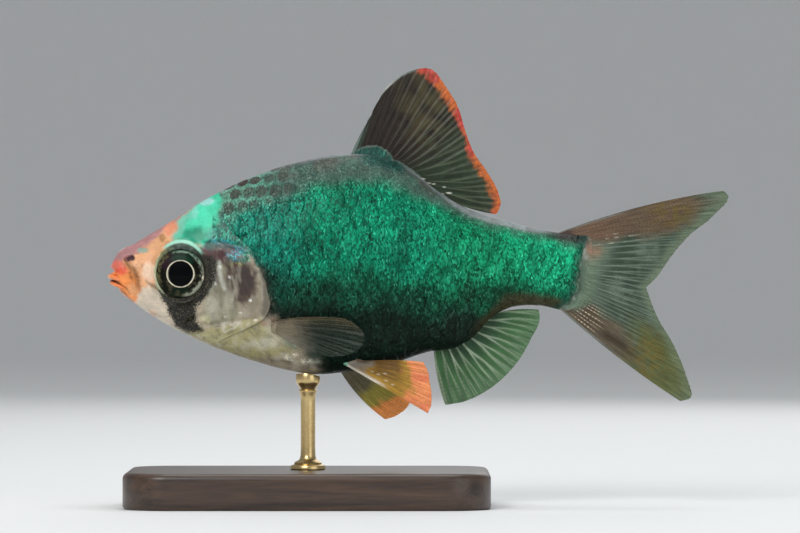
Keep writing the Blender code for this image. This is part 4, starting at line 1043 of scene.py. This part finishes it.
def eye_colour(points):
    """Rings and arcs of colour by distance and direction from the middle of the iris."""
    flat = points[:, [0, 2]] - IRIS_MIDDLE
    reach, turn = np.hypot(*flat.T), np.arctan2(flat[:, 1], flat[:, 0])
    high = np.sin(turn)
    cloud, speck = mottle(points, 0.3, 41), mottle(points, 0.12, 42)
    olive = ramp(2.15, 2.4, reach + 0.06 * speck) * ramp(0.6, 0.9, np.cos(turn - 2.9))
    rear_arc = ramp(2.02, 2.30, reach + 0.1 * cloud) * ramp(0.35, 0.85, np.cos(turn + 0.25))
    low_arc = ramp(0.20, 0.05, np.abs(reach - 2.42 + 0.08 * cloud)) * ramp(0.75, 0.98, np.cos(turn + 0.85))
    top_arc = ramp(0.18, 0.06, np.abs(reach - 2.45 + 0.06 * cloud)) * ramp(0.60, 0.85, np.cos(turn - 1.19))
    ring = ramp(1.38, 1.45, reach) * ramp(1.56, 1.49, reach + 0.03 * high**2)
    return layered(
        ground("iris", points),
        ("iris_brown", 0.7 * ramp(-0.2, 0.5, cloud + 0.4 * speck) * ramp(0.4, -0.4, high)),
        ("iris_green", 0.8 * ramp(2.3, 1.9, reach) * ramp(0.55, 0.85, high)),
        ("iris_green", 0.25 * ramp(0.75, 0.95, -high)),
        ("iris_plum", 0.7 * ramp(0.85, 0.99, np.cos(turn - 2.45))),
        ("iris_olive", 0.6 * olive * ramp(-0.4, 0.4, speck)),
        ("arc", 0.75 * rear_arc * ramp(-0.7, 0.1, speck + cloud)),
        ("arc", 0.8 * low_arc),
        ("arc_green", 0.85 * top_arc * ramp(-0.6, 0.1, speck + 0.6 * cloud)),
        ("eye_edge", 0.85 * ramp(2.60, 2.67, reach)),
        # A small painted highlight on the eye's lower rear, in the ring's cream.
        ("ring", 0.9 * ramp(0.2, 0.08, np.hypot(flat[:, 0] - 2.5, (flat[:, 1] + 0.45) * 0.5))),
        ("ring", (0.75 + 0.22 * np.cos(turn) ** 2) * ring),
        ("pupil", ramp(1.43, 1.38, reach)),
    )


for side, word in ((-1, "left"), (1, "right")):
    ahead_by, up_by, out_by = np.split(turned(EYE_PROFILE, 96), 3, axis=-1)
    middle, ahead, up, outward = eye_axes(side)
    middle = middle + [IRIS_MIDDLE[0] - EYE_CENTRE[0], 0, IRIS_MIDDLE[1] - EYE_CENTRE[1]]
    points, faces = capped(middle + ahead_by * ahead + up_by * up + out_by * outward)
    faces = faces if side < 0 else [face[::-1] for face in faces]
    ball = new_piece(f"eye_{word}_glass", points, faces, eye_glass)
    give(ball, paint=eye_colour(points))
    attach(ball, "root")
    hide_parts(f"eye_{word}")

# The fins: thin webs over soft rays that fork twice on their way to the edge. The rays stand up as
# ridges and are jointed all along, and the web between them is smoky, clear or orange.
WEB, RAY_RISE, ROOT_HALF = 0.07, 0.13, 0.36
COLUMNS_PER_RAY, FIN_ROWS = 12, 84


def fin_material(name, web_alpha, segment, fibres):
    """A membrane: painted web and rays, fine fibres along them, joints across the rays where the fin's
    joint mask says so, and a little see-through between.
    """
    material, tree, shader = new_material(
        name, Roughness=0.45, Coat_Weight=0.10, Coat_Roughness=0.2, Specular_IOR_Level=0.16,
    )
    place = object_place(tree)
    layout = add_node(tree, "ShaderNodeUVMap", uv_map="rays").outputs["UV"]
    run = add_node(tree, "ShaderNodeSeparateXYZ", {"Vector": layout}).outputs["Y"]
    phase = maths(tree, "MULTIPLY", run, 2 * math.pi / segment)
    wave = maths(tree, "SINE", maths(tree, "MULTIPLY_ADD", noise(tree, place, 1800.0), 5.0, phase))
    on_joint = maths(tree, "MULTIPLY", ranged(tree, wave, -0.3, 0.5), stored(tree, "joint"))
    fibre = noise(tree, vectors(tree, "MULTIPLY", layout, (fibres, 0.4, 0.0)), 1.0, 3.0)
    grain = maths(tree, "MULTIPLY_ADD", noise(tree, place, 4200.0, 3.0), 0.35, fibre)
    soft = ranged(tree, grain, 0.45, 0.90, 0.60, 1.45)
    web = vectors(tree, "SCALE", stored(tree, "paint", "Color"), Scale=soft)
    feed(tree, shader, {
        "Base Color": mixed(tree, on_joint, web, vectors(tree, "SCALE", web, Scale=0.18)),
        "Alpha": ranged(tree, stored(tree, "ray"), 0.0, 1.0, web_alpha, 0.98),
        "Normal": bumped(tree, grain, 0.25, 0.00004),
    })
    return material


def fin_blade(root, tips, rays, bow, fork_at, ray_width, seed, rays_from):
    """The fin's middle sheet, its half-thickness and its ray mask, on a grid of columns by rows.

    Every ray runs from the root line to the tip line and bows sideways by a share of its length. It
    forks from the given share on and again near its end, and the web ends a little short of the tips.
    """
    across = np.linspace(0, 1, rays * COLUMNS_PER_RAY - COLUMNS_PER_RAY + 1)
    down = np.linspace(0, 1, FIN_ROWS)
    start, end = along(root, across)[:, None], along(tips, across)[:, None]
    draw = np.random.default_rng(seed)
    steps = 1 + 0.3 * draw.uniform(-1, 1, rays - 1)
    number = np.interp(across, np.concatenate([[0], np.cumsum(steps)]) / steps.sum(), np.arange(rays))
    from_ray = (number[:, None] + 0.5) % 1.0 - 0.5
    fork = 0.24 * ramp(fork_at, fork_at + 0.55, down)
    twig = 0.115 * ramp(fork_at + 0.40, 1.10, down)
    nearest = np.abs(np.abs(np.abs(from_ray) - fork) - twig)
    strength = np.interp(number, np.arange(rays), draw.uniform(0.55, 1, rays))[:, None]
    ray = np.exp(-((nearest / (ray_width * (1 - 0.4 * down))) ** 2)) * strength
    ray = ray * ramp(rays_from - 0.1, rays_from + 0.1, down)
    ragged = np.interp(across, np.linspace(0, 1, 4 * rays), draw.uniform(-1, 1, 4 * rays))
    ends = 0.003 * ragged - 0.004 * (1 - ray[:, -1])
    reach = down * (1 + ends[:, None] * down**2)
    line = end - start
    sideways = np.stack([-line[..., 2], 0 * line[..., 0], line[..., 0]], axis=-1)
    bend = (bow[0] + (bow[1] - bow[0]) * across[:, None]) * 4 * reach * (1 - reach)
    sheet = start + reach[..., None] * line + bend[..., None] * sideways
    ripple = 0.05 * down**1.5 * np.cos(2 * math.pi * from_ray)
    normal = unit(np.cross(np.gradient(sheet, axis=0), np.gradient(sheet, axis=1)))
    half = WEB * (1 - 0.6 * down) + RAY_RISE * ray * (1 - 0.72 * down)
    half = half + (ROOT_HALF - half) * np.clip(1 - down / 0.12, 0, 1) ** 2
    half = half * np.clip((1.0 - down) / 0.02, 0.25, 1)
    half = half * np.clip(np.minimum(across, 1 - across)[:, None] / 0.004, 0.35, 1)
    full = np.linalg.norm(line, axis=-1)
    across, down = np.broadcast_arrays(across[:, None], down)
    masks = [grid.ravel() for grid in (across, down, ray, full * (1 - down), full * reach)]
    return sheet + ripple[..., None] * normal, half[..., None] * normal, masks


def make_fin(name, node, root, tips, rays, bow, painter, material, seed,
             fork_at=0.25, ray_width=0.085, rays_from=-0.1):
    """Builds one fin as two faces joined round its rim, paints it, and puts it in place of its CAD node."""
    sheet, half, masks = fin_blade(root, tips, rays, bow, fork_at, ray_width, seed, rays_from)
    across, down, ray, rim, length = masks
    columns, rows = sheet.shape[:2]
    points = np.concatenate([(sheet - half).reshape(-1, 3), (sheet + half).reshape(-1, 3)])
    front = grid_quads(columns, rows)
    other = columns * rows
    index = np.arange(other).reshape(columns, rows)
    edge = np.concatenate([index[:-1, 0], index[-1, :-1], index[:0:-1, -1], index[0, :0:-1]])
    after = np.roll(edge, -1)
    wall = np.stack([edge, after, other + after, other + edge], axis=1)
    corner = points[front[len(front) // 2]]
    facing = np.cross(corner[1] - corner[0], corner[2] - corner[0])
    if facing @ half.reshape(-1, 3)[front[len(front) // 2][0]] > 0:
        faces = np.concatenate([front[:, ::-1], front + other, wall])
    else:
        faces = np.concatenate([front, front[:, ::-1] + other, wall[:, ::-1]])
    piece = new_piece(name, points, faces.tolist(), material)
    colour, joint = painter(sheet.reshape(-1, 3), *masks)
    give(piece, paint=np.tile(colour, (2, 1)), ray=np.tile(ray, 2), joint=np.tile(joint * ray, 2))
    give_uv(piece, "rays", np.tile(np.stack([across, length], axis=1), (2, 1))[faces.ravel()])
    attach(piece, "root")
    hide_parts(node)


def flat_line(points, y=0.0):
    """An x-z line as points in space."""
    x, z = np.array(points, float).T
    return np.stack([x, y + 0 * x, z], axis=1)


def tip_points(line, sway=0.0):
    """A tip line in space, which sways a little to one side."""
    shares = np.linspace(0, 1, 40)
    return flat_line(along(line, shares), sway * np.sin(0.3 + 2.5 * shares))


def ridge_root(span, line, sink):
    """Roots along the back or belly line, sunk into the body."""
    x = np.linspace(*span, 24)
    return flat_line(np.stack([x, on_line(line, x) - sink], axis=1))


DORSAL_TIPS = [
    (-5.2, 42.8), (-3.3, 46.2), (-0.4, 48.0), (1.4, 48.1), (2.9, 46.4), (4.3, 44.2), (5.1, 41.7), (6.1, 39.0),
    (7.6, 36.8), (8.8, 34.6), (9.1, 33.0), (8.6, 32.1),
]
UPPER_TIPS = [(33.6, 34.7), (34.1, 34.2), (32.6, 32.0), (29.8, 29.7), (27.7, 27.2), (26.3, 25.2), (25.0, 23.95)]
LOWER_TIPS = [(25.05, 24.2), (26.3, 20.9), (28.2, 17.6), (29.6, 14.1), (30.0, 11.9), (28.9, 11.5)]
ANAL_TIPS = [(3.0, 11.1), (4.8, 11.4), (7.9, 12.9), (10.6, 15.4), (12.5, 18.5), (13.4, 20.6), (13.3, 21.6)]
PELVIC_TIPS = {
    -1: [(1.1, 10.3), (1.5, 11.5), (1.45, 12.7), (1.3, 13.7), (1.1, 14.8), (0.6, 15.9)],
    1: [(-3.6, 9.4), (-2.4, 9.8), (-1.3, 10.6), (-0.7, 11.6), (-0.4, 12.8), (-0.5, 14.1)],
}
PECTORAL_TIPS = [
    (-8.0, 20.7), (-6.7, 20.0), (-5.8, 18.9), (-6.0, 17.8), (-7.2, 16.9), (-9.2, 16.5), (-11.6, 16.9),
]
UPPER_ROOT = [(14.6, 29.75), (16.2, 29.5), (17.4, 28.6), (17.7, 27.0), (17.3, 25.1)]
LOWER_ROOT = [(17.4, 25.6), (17.2, 24.2), (16.8, 23.0), (16.3, 22.1), (15.5, 21.75)]
COLOURS |= {
    "smoke": (35, 27, 22), "smoke_olive": (76, 68, 44), "smoke_ray": (90, 99, 80),
    "smoke_green": (42, 62, 42), "fin_red": (184, 58, 56), "fin_pink": (206, 90, 88),
    "fin_orange": (198, 104, 54), "leading": (132, 142, 138), "sheath": (18, 74, 66),
    "sheath_spark": (46, 140, 116), "leading_teal": (96, 134, 120), "sheath_rim": (118, 136, 126),
    "fin_glint": (226, 226, 212), "tail_web": (88, 104, 90), "tail_dark": (50, 66, 52),
    "tail_ray": (126, 142, 126), "tail_brown": (104, 82, 64), "tail_deep_brown": (62, 48, 36),
    "tail_olive": (112, 96, 44), "tail_tip": (108, 122, 98), "tail_rust": (120, 92, 74),
    "bead": (224, 206, 178), "tail_moss": (92, 96, 46), "anal_web": (58, 98, 58), "anal_dark": (30, 54, 38),
    "anal_margin": (80, 114, 80), "anal_ray": (162, 178, 154), "pelvic_grey": (146, 138, 126),
    "pelvic_gold": (168, 128, 28), "pelvic_brown": (92, 62, 22), "pelvic_orange": (234, 138, 84),
    "pelvic_coral": (224, 106, 74), "pelvic_pale": (250, 186, 140), "pelvic_white_and_glint": (226, 216, 200),
    "pelvic_olive": (112, 106, 74), "pelvic_moss": (172, 162, 62), "pelvic_rim": (250, 156, 78),
    "pectoral_web": (30, 44, 36), "pectoral_ray": (58, 68, 52), "pectoral_brown": (92, 82, 56),
    "pectoral_root": (150, 136, 116), "pelvic_mint": (120, 200, 170),
}


def paint_dorsal(points, across, down, ray, rim, length):
    """Smoky brown in front and green-grey behind, with pale forked streaks, a pale front edge, a scaly
    sheath at the root, and a broken orange-red hem behind the tip.
    """
    cloud, fine, speck = mottle(points, 0.9, 52), mottle(points, 0.4, 53), mottle(points, 0.25, 54)
    middle = np.exp(-(((across - 0.42) / 0.17) ** 2)) * ramp(0.15, 0.55, down)
    streaks = (0.12 + 0.62 * ramp(0.28, 0.60, across)) * ramp(0.06, 0.30, down)
    width = np.interp(
        across, [0.27, 0.33, 0.45, 0.60, 0.70, 0.80, 0.92, 1.0], [0.1, 0.85, 0.8, 0.35, 0.3, 0.65, 0.8, 0.6],
    )
    off_rim = rim + 0.25 * cloud + 0.3 * fine + 0.3 * (0.4 - ray) * ramp(0.1, 0.5, rim)
    hem = ramp(width + 0.5, width - 0.35, off_rim) * ramp(0.27, 0.31, across)
    red = np.interp(
        across, [0.30, 0.36, 0.42, 0.50, 0.57, 0.64, 0.70, 0.76, 0.85, 1.0],
        [1, 0.8, 0.1, 0.3, 1, 0.5, 0.9, 0.3, 0.1, 0.5],
    )
    front = np.maximum(ramp(0.055, 0.01, across), ramp(0.29, 0.25, across) * ramp(0.34, 0.12, rim))
    teal = ramp(0.13, 0.02, across) * ramp(0.75, 0.4, down + 0.1 * cloud)
    sheath = 0.45 + 0.95 * np.sin(math.pi * np.clip((across - 0.02) / 0.42, 0, 1)) ** 0.8
    on_sheath = ramp(sheath + 0.10, sheath - 0.16, length + 0.2 * fine)
    colour = layered(
        ground("smoke", points),
        ("smoke_olive", 0.75 * middle * ramp(-0.6, 0.3, cloud)),
        ("smoke_green", 0.75 * ramp(0.50, 0.75, across + 0.06 * cloud)),
        ("smoke_ray", streaks * ray),
        ("smoke", 0.3 * (1 - ray) * ramp(0.4, 0.6, across) * ramp(-0.5, 0.4, fine)),
        ("fin_orange", 0.95 * hem),
        ("fin_red", 0.9 * hem * ramp(0.3, 0.8, red + 0.35 * fine)),
        ("fin_pink", 0.6 * hem * ramp(0.1, 0.5, speck) * ramp(0.4, 0.9, red)),
        ("smoke_olive", 0.6 * hem * ramp(0.1, 0.6, -speck) * ramp(0.1, 0.6, rim)),
        ("leading", 0.85 * front),
        ("leading_teal", 0.6 * teal * (0.4 + 0.6 * ray)),
        ("fin_glint", 0.95 * soft_oval(points, -2.9, 45.6, 0.9, 0.9) * ramp(0.5, 0.2, rim)),
        ("sheath_rim", 0.7 * ramp(sheath + 0.16, sheath + 0.05, length + 0.1 * fine)),
        ("sheath", 0.95 * on_sheath),
        ("sheath_spark", 0.7 * on_sheath * ramp(0.2, 0.7, mottle(points, 0.16, 58))),
        ("smoke", 0.5 * on_sheath * ramp(0.1, 0.6, -speck)),
    )
    for x, z in ruled([423, 179, 428, 183, 434, 184, 444, 187, 449, 193, 441, 194]):
        spread = np.hypot((points[:, 0] - x) * 0.4, points[:, 2] - z)
        colour = layered(colour, ("fin_glint", 0.75 * ramp(0.15, 0.03, spread + 0.06 * speck)))
    return colour, 0.1


def paint_tail(points, across, down, ray, rim, length, upper):
    """Greenish grey with dark webs in the middle, brown and jointed along the outer rays, with olive
    clouds. Rows of pale beads lie at the lower root, and the scaleless root is painted as on the skin.
    """
    outer = across if upper else 1 - across
    cloud, fine = mottle(points, 1.4, 55), mottle(points, 0.5, 56)
    dark_web = (1 - ray) * ramp(0.22, 0.45, down) * ramp(1.0, 0.8, down) * ramp(-0.7, 0.5, cloud + 0.4 * fine)
    band = ramp(0.55, 0.36, outer + 0.08 * cloud)
    if upper:
        olive = soft_oval(points, 28.0, 32.4, 2.4, 2.4 / 1.4)
        glints = ramp(0.30, 0.38, outer) * ramp(0.56, 0.46, outer) * ramp(0.62, 0.3, down)
        glints = glints * ramp(0.1, 0.5, fine)
        joint = 0.6 * band * ramp(0.95, 0.7, down)
        clouds = (
            ("tail_brown", 0.85 * band * ramp(1.0, 0.75, down + 0.1 * cloud)),
            ("tail_rust", 0.6 * band * ramp(0.5, 0.2, down)),
            ("tail_olive", 0.8 * olive * ramp(-0.6, 0.3, fine)),
            ("fin_glint", 0.75 * glints * ray),
        )
    else:
        dark_ray = np.exp(-(((outer - 0.17 - 0.05 * cloud) / 0.09) ** 2))
        dark_ray = dark_ray * ramp(0.2, 0.35, down) * ramp(0.75, 0.5, down)
        olive = soft_oval(points, 25.2, 16.2, 2.3, 2.3 / 0.8)
        beads = ramp(5.2, 2.8, length + 0.6 * fine) * ramp(0.4, 0.9, length)
        beads = beads * ramp(0.62, 0.42, outer) * ramp(0.02, 0.1, outer)
        joint = 1.5 * beads
        clouds = (
            ("tail_brown", 0.7 * band * ramp(0.7, 0.35, down + 0.1 * cloud)),
            ("tail_deep_brown", 0.85 * dark_ray),
            ("tail_moss", 0.75 * ramp(0.45, 0.75, down) * ramp(0.75, 0.4, outer)),
            ("tail_olive", 0.7 * olive * ramp(-0.6, 0.3, fine)),
            ("tail_deep_brown", 0.5 * beads * (1 - ray)),
            ("bead", 0.9 * beads * ramp(0.2, 0.6, ray) * ramp(-0.8, 0.0, fine)),
        )
    colour = layered(
        ground("tail_web", points),
        ("tail_dark", 0.9 * dark_web),
        ("tail_ray", 0.55 * ray * ramp(1.05, 0.5, down)),
        *clouds,
        ("tail_tip", 0.6 * ramp(0.86, 0.98, down + 0.03 * cloud)),
        ("leading", 0.6 * ramp(0.05, 0.02, outer) * ramp(0.5, 0.3, down)),
        ("root_dark", 0.8 * upper * ramp(17.6, 16.4, points[:, 0]) * ramp(0.0, 0.06, outer)),
    )
    start = 0.40 if upper else 0.12
    root = ramp(3.0, 1.2, past_scales(points) + 0.4 * fine + 0.3 * cloud) * ramp(start, start + 0.25, outer)
    return tail_root(colour, points, root), joint


def paint_anal(points, across, down, ray, rim, length):
    """A green web, darker near the root, between white rays that spread into pale bundles."""
    return layered(
        ground("anal_web", points),
        ("anal_margin", 0.7 * ramp(0.55, 1.0, down + 0.08 * mottle(points, 1.0, 57))),
        ("anal_dark", 0.75 * (1 - ray) * ramp(0.6, 0.2, down) * ramp(0.0, 0.3, across)),
        ("anal_ray", (0.9 - 0.55 * ramp(0.2, 1.0, down)) * ray),
        ("anal_ray", 0.6 * ramp(0.04, 0.0, across)),
    ), 0.5 * ramp(0.3, 0.1, across) * ramp(0.2, 0.4, down)


def paint_near_pelvic(points, across, down, ray, rim, length):
    """Grey at the root, gold with brown webs in the middle and coral at the tips, with a white ray and
    painted glints along the rays.
    """
    cloud, fine = mottle(points, 0.8, 61), mottle(points, 0.35, 62)
    brown_web = (1 - ray) * ramp(0.2, 0.35, down) * ramp(0.72, 0.5, down) * ramp(0.12, 0.4, across)
    colour = layered(
        ground("pelvic_grey", points),
        ("pelvic_gold", 0.95 * ramp(0.10, 0.32, down + 0.12 * cloud)),
        ("pelvic_brown", 0.8 * brown_web),
        ("pelvic_brown", 0.7 * ramp(0.55, 0.85, across + 0.2 * cloud) * ramp(0.72, 0.55, down)),
        ("pelvic_orange", 0.95 * ramp(0.66, 0.80, down + 0.10 * cloud)),
        ("pelvic_coral", 0.7 * ramp(0.7, 0.9, down) * ramp(-0.1, 0.5, cloud)),
        ("pelvic_pale", 0.45 * ray * ramp(0.55, 0.85, down)),
        ("pelvic_white_and_glint", 0.9 * ramp(0.2, 0.08, across + 0.1 * down) * ramp(0.55, 0.35, down)),
    )
    # Small painted glints along the rays, in the same white.
    for x, z in ruled([358, 369, 365, 374, 372, 371, 379, 374, 385, 373, 386, 380, 376, 381, 393, 384]):
        off_x, off_z = points[:, 0] - x, points[:, 2] - z
        spread = np.hypot(off_x * 0.4, off_z + 0.25 * off_x)
        colour = layered(colour, ("pelvic_white_and_glint", 0.6 * ramp(0.10, 0.02, spread + 0.05 * fine)))
    root_spot = ramp(0.5, 0.3, np.hypot(points[:, 0] + 8.1, points[:, 2] - 15.6))
    return layered(colour, ("pelvic_mint", 0.9 * root_spot)), 0.25


def paint_far_pelvic(points, across, down, ray, rim, length):
    """Olive, then moss yellow, with an orange rim."""
    cloud = 0.08 * mottle(points, 0.8, 61)
    return layered(
        ground("pelvic_grey", points),
        ("pelvic_olive", 0.9 * ramp(0.05, 0.25, down + cloud)),
        ("pelvic_moss", 0.85 * ramp(0.45, 0.62, down + cloud + 0.1 * across)),
        ("pelvic_rim", 0.95 * ramp(0.70, 0.80, down + cloud)),
        ("pelvic_pale", 0.3 * ray * ramp(0.4, 0.8, down)),
    ), 0.25


def paint_pectoral(points, across, down, ray, rim, length):
    """A nearly clear dark web between greenish rays, browner along the upper edge."""
    return layered(
        ground("pectoral_web", points),
        ("pectoral_ray", 0.5 * ray),
        ("pectoral_brown", 0.8 * ramp(0.38, 0.08, across) * (0.45 + 0.55 * ray)),
        ("pectoral_root", 0.8 * ramp(-10.6, -14.8, points[:, 0] + 0.5 * mottle(points, 0.8, 63))),
        ("pectoral_brown", 0.6 * ramp(0.14, 0.04, across)),
    ), 0.2


smoky = fin_material("smoky_membrane", 0.93, 0.34, 110.0)
clear = fin_material("clear_membrane", 0.90, 0.42, 80.0)
orange = fin_material("orange_membrane", 0.92, 0.30, 60.0)
pectoral_web = fin_material("pectoral_membrane", 0.36, 0.30, 70.0)
make_fin(
    "dorsal_fin_web", "dorsal_fin", ridge_root((-7.5, 1.5), BACK_LINE, 0.4), tip_points(DORSAL_TIPS, 0.35), 20,
    (0.03, -0.06), paint_dorsal, smoky, seed=3, ray_width=0.13,
)
make_fin(
    "tail_fin_upper", "caudal_fin_upper", flat_line(along(UPPER_ROOT, np.linspace(0, 1, 24))),
    tip_points(UPPER_TIPS, 0.3), 15, (0.03, 0.0), lambda *given: paint_tail(*given, True), clear,
    seed=4, fork_at=0.35, ray_width=0.13, rays_from=0.14,
)
make_fin(
    "tail_fin_lower", "caudal_fin_lower", flat_line(along(LOWER_ROOT, np.linspace(0, 1, 24))),
    tip_points(LOWER_TIPS, 0.3), 15, (0.0, -0.02), lambda *given: paint_tail(*given, False), clear,
    seed=5, fork_at=0.35, ray_width=0.15, rays_from=0.08,
)
make_fin(
    "anal_fin_web", "anal_fin", ridge_root((1.7, 8.0), BELLY_LINE, -0.4), tip_points(ANAL_TIPS, -0.3), 10,
    (-0.04, 0.05), paint_anal, clear, seed=6, fork_at=0.08, ray_width=0.095,
)


def paired_fin(ends, tips, spread):
    """Roots in a line on the left flank's skin from one (x, angle) to another, and tips held off it."""
    first, last = (body_at(x, angle) + (PAIRED_HALF - 0.3) * body_out(x, angle) for x, angle in ends)
    root = first + (last - first) * np.linspace(0, 1, 24)[:, None]
    tips, middle = tip_points(tips), root.mean(axis=0)
    tips[:, 1] = middle[1] - spread * np.hypot(tips[:, 0] - middle[0], tips[:, 2] - middle[2])
    return root, tips


PAIRED_HALF, BELLY_TURN, CHEST_TURN = 0.4, math.pi - 0.42, math.radians(121)
for side, word, start, bow, painter in (
    (-1, "left", -8.2, (0.0, 0.03), paint_near_pelvic), (1, "right", -9.0, (-0.06, 0.02), paint_far_pelvic),
):
    mirror = np.array([1, -side, 1])
    root, tips = paired_fin(((start, BELLY_TURN), (start + 1.8, BELLY_TURN)), PELVIC_TIPS[side], 0.22)
    make_fin(
        f"pelvic_fin_{word}_web", f"pelvic_fin_{word}", root * mirror, tips * mirror, 8, bow, painter, orange,
        seed=8, ray_width=0.12,
    )
    root, tips = paired_fin(((-16.0, CHEST_TURN), (-15.9, CHEST_TURN + 0.13)), PECTORAL_TIPS, 0.3)
    make_fin(
        f"pectoral_fin_{word}_web", f"pectoral_fin_{word}", root * mirror, tips * mirror, 10, (0.04, -0.02),
        paint_pectoral, pectoral_web, seed=9,
    )

# The stand: a dark stained plinth with a rounded top edge, and a turned brass rod whose small cradle
# holds the belly. It stands in for the water.
BASE_SIZE, BASE_HEIGHT, BASE_CORNER, BASE_ROUND, ROD_X = np.array([40.0, 26.0]), 4.0, 5.0, 0.7, -12.1
BASE_SPOKES, ROD_SPOKES = 160, 64


def rounded_ring(inset, height):
    """A rectangle with round corners, drawn in by an inset: a corner circle is added to a smaller box."""
    turn = around(BASE_SPOKES) + math.pi / BASE_SPOKES
    box = BASE_SIZE / 2 - BASE_CORNER
    x = np.sign(np.cos(turn)) * box[0] + (BASE_CORNER - inset) * np.cos(turn)
    y = np.sign(np.sin(turn)) * box[1] + (BASE_CORNER - inset) * np.sin(turn)
    return np.stack([x + ROD_X, y, np.full_like(x, height)], axis=-1)


def drawn_out(tree, scale):
    """Places on the object, stretched by a scale for each axis."""
    return add_node(tree, "ShaderNodeMapping", {"Vector": object_place(tree), "Scale": scale}).outputs[0]


edge_turns = np.linspace(0, math.pi / 2, 7)
levels = [(4.0, 0.0), (0.25, 0.0), (0.0, 0.25), (0.0, 2.0)]
levels += [(BASE_ROUND * (1 - math.cos(a)), BASE_HEIGHT - BASE_ROUND * (1 - math.sin(a))) for a in edge_turns]
levels += [(2.0, BASE_HEIGHT), (4.0, BASE_HEIGHT)]
points, faces = capped(np.array([rounded_ring(*level) for level in levels]))
wood, tree, shader = new_material("waxed_wood", Roughness=0.38, Coat_Weight=0.25, Coat_Roughness=0.25)
figure = noise(tree, drawn_out(tree, (60.0, 900.0, 900.0)), 1.0, 6.0, Distortion=0.6)
pores = noise(tree, drawn_out(tree, (300.0, 5000.0, 5000.0)), 1.0, 3.0)
stain = ranged(tree, maths(tree, "MULTIPLY_ADD", pores, 0.5, figure), 0.5, 1.0)
feed(tree, shader, {
    "Base Color": mixed(tree, stain, (0.018, 0.010, 0.007, 1), (0.085, 0.045, 0.026, 1)),
    "Normal": bumped(tree, pores, 0.3, 0.00004),
})
plinth = new_piece("plinth", points, faces, wood)
plinth.data.set_sharp_from_angle(angle=math.radians(50))
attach(plinth, "root")
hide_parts("stand_base")


def belly_under(x, y):
    """The height of the belly's surface over a point near its middle line."""
    top, bottom = on_line(BACK_LINE, x), on_line(BELLY_LINE, x)
    widest = bottom + WIDEST_AT * (top - bottom)
    side = (np.abs(y) / on_line(HALF_WIDTH, x)) ** (1 / (1 - KEEL))
    return widest - (widest - bottom) * np.sqrt(1 - side**2)


neck = float(belly_under(ROD_X, 0.0)) - 2.0
rod_profile = [
    (0.4, 4.02), (1.85, 4.02), (1.92, 4.1), (1.92, 4.35), (1.86, 4.48), (1.6, 4.56), (1.5, 4.62), (1.52, 4.74),
    (1.4, 4.88), (1.1, 5.0), (0.9, 5.2), (0.82, 5.6), (0.80, 6.5), (0.80, neck - 1.0), (0.82, neck - 0.3),
    (1.0, neck), (1.0, neck + 0.12), (0.86, neck + 0.25), (0.95, neck + 0.5), (1.2, neck + 0.8),
    (1.32, neck + 1.05), (1.33, neck + 1.3),
]
cup = turned([(radius, 0.36 if radius > 1.3 else 0.22) for radius in (1.33, 1.28, 1.1, 0.7, 0.3)], ROD_SPOKES)
rings = np.concatenate([turned(rod_profile, ROD_SPOKES), cup]) + [ROD_X, 0, 0]
rings[-5:, :, 2] = belly_under(rings[-5:, :, 0], rings[-5:, :, 1]) - cup[..., 2]
points, faces = capped(rings)
brass, tree, shader = new_material("satin_brass", Roughness=0.27, Metallic=1.0)
lathe_marks = noise(tree, drawn_out(tree, (400.0, 400.0, 14000.0)), 1.0)
tarnish = noise(tree, object_place(tree), 500.0, 4.0)
feed(tree, shader, {
    "Base Color": mixed(tree, tarnish, (0.50, 0.35, 0.15, 1), (0.74, 0.57, 0.28, 1)),
    "Roughness": ranged(tree, lathe_marks, 0.0, 1.0, 0.2, 0.38),
    "Normal": bumped(tree, lathe_marks, 0.12, 0.00002),
})
rod = new_piece("brass_rod", points, faces, brass)
rod.data.set_sharp_from_angle(angle=math.radians(40))
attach(rod, "root")
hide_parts("stand_rod")

bpy.context.view_layer.update()
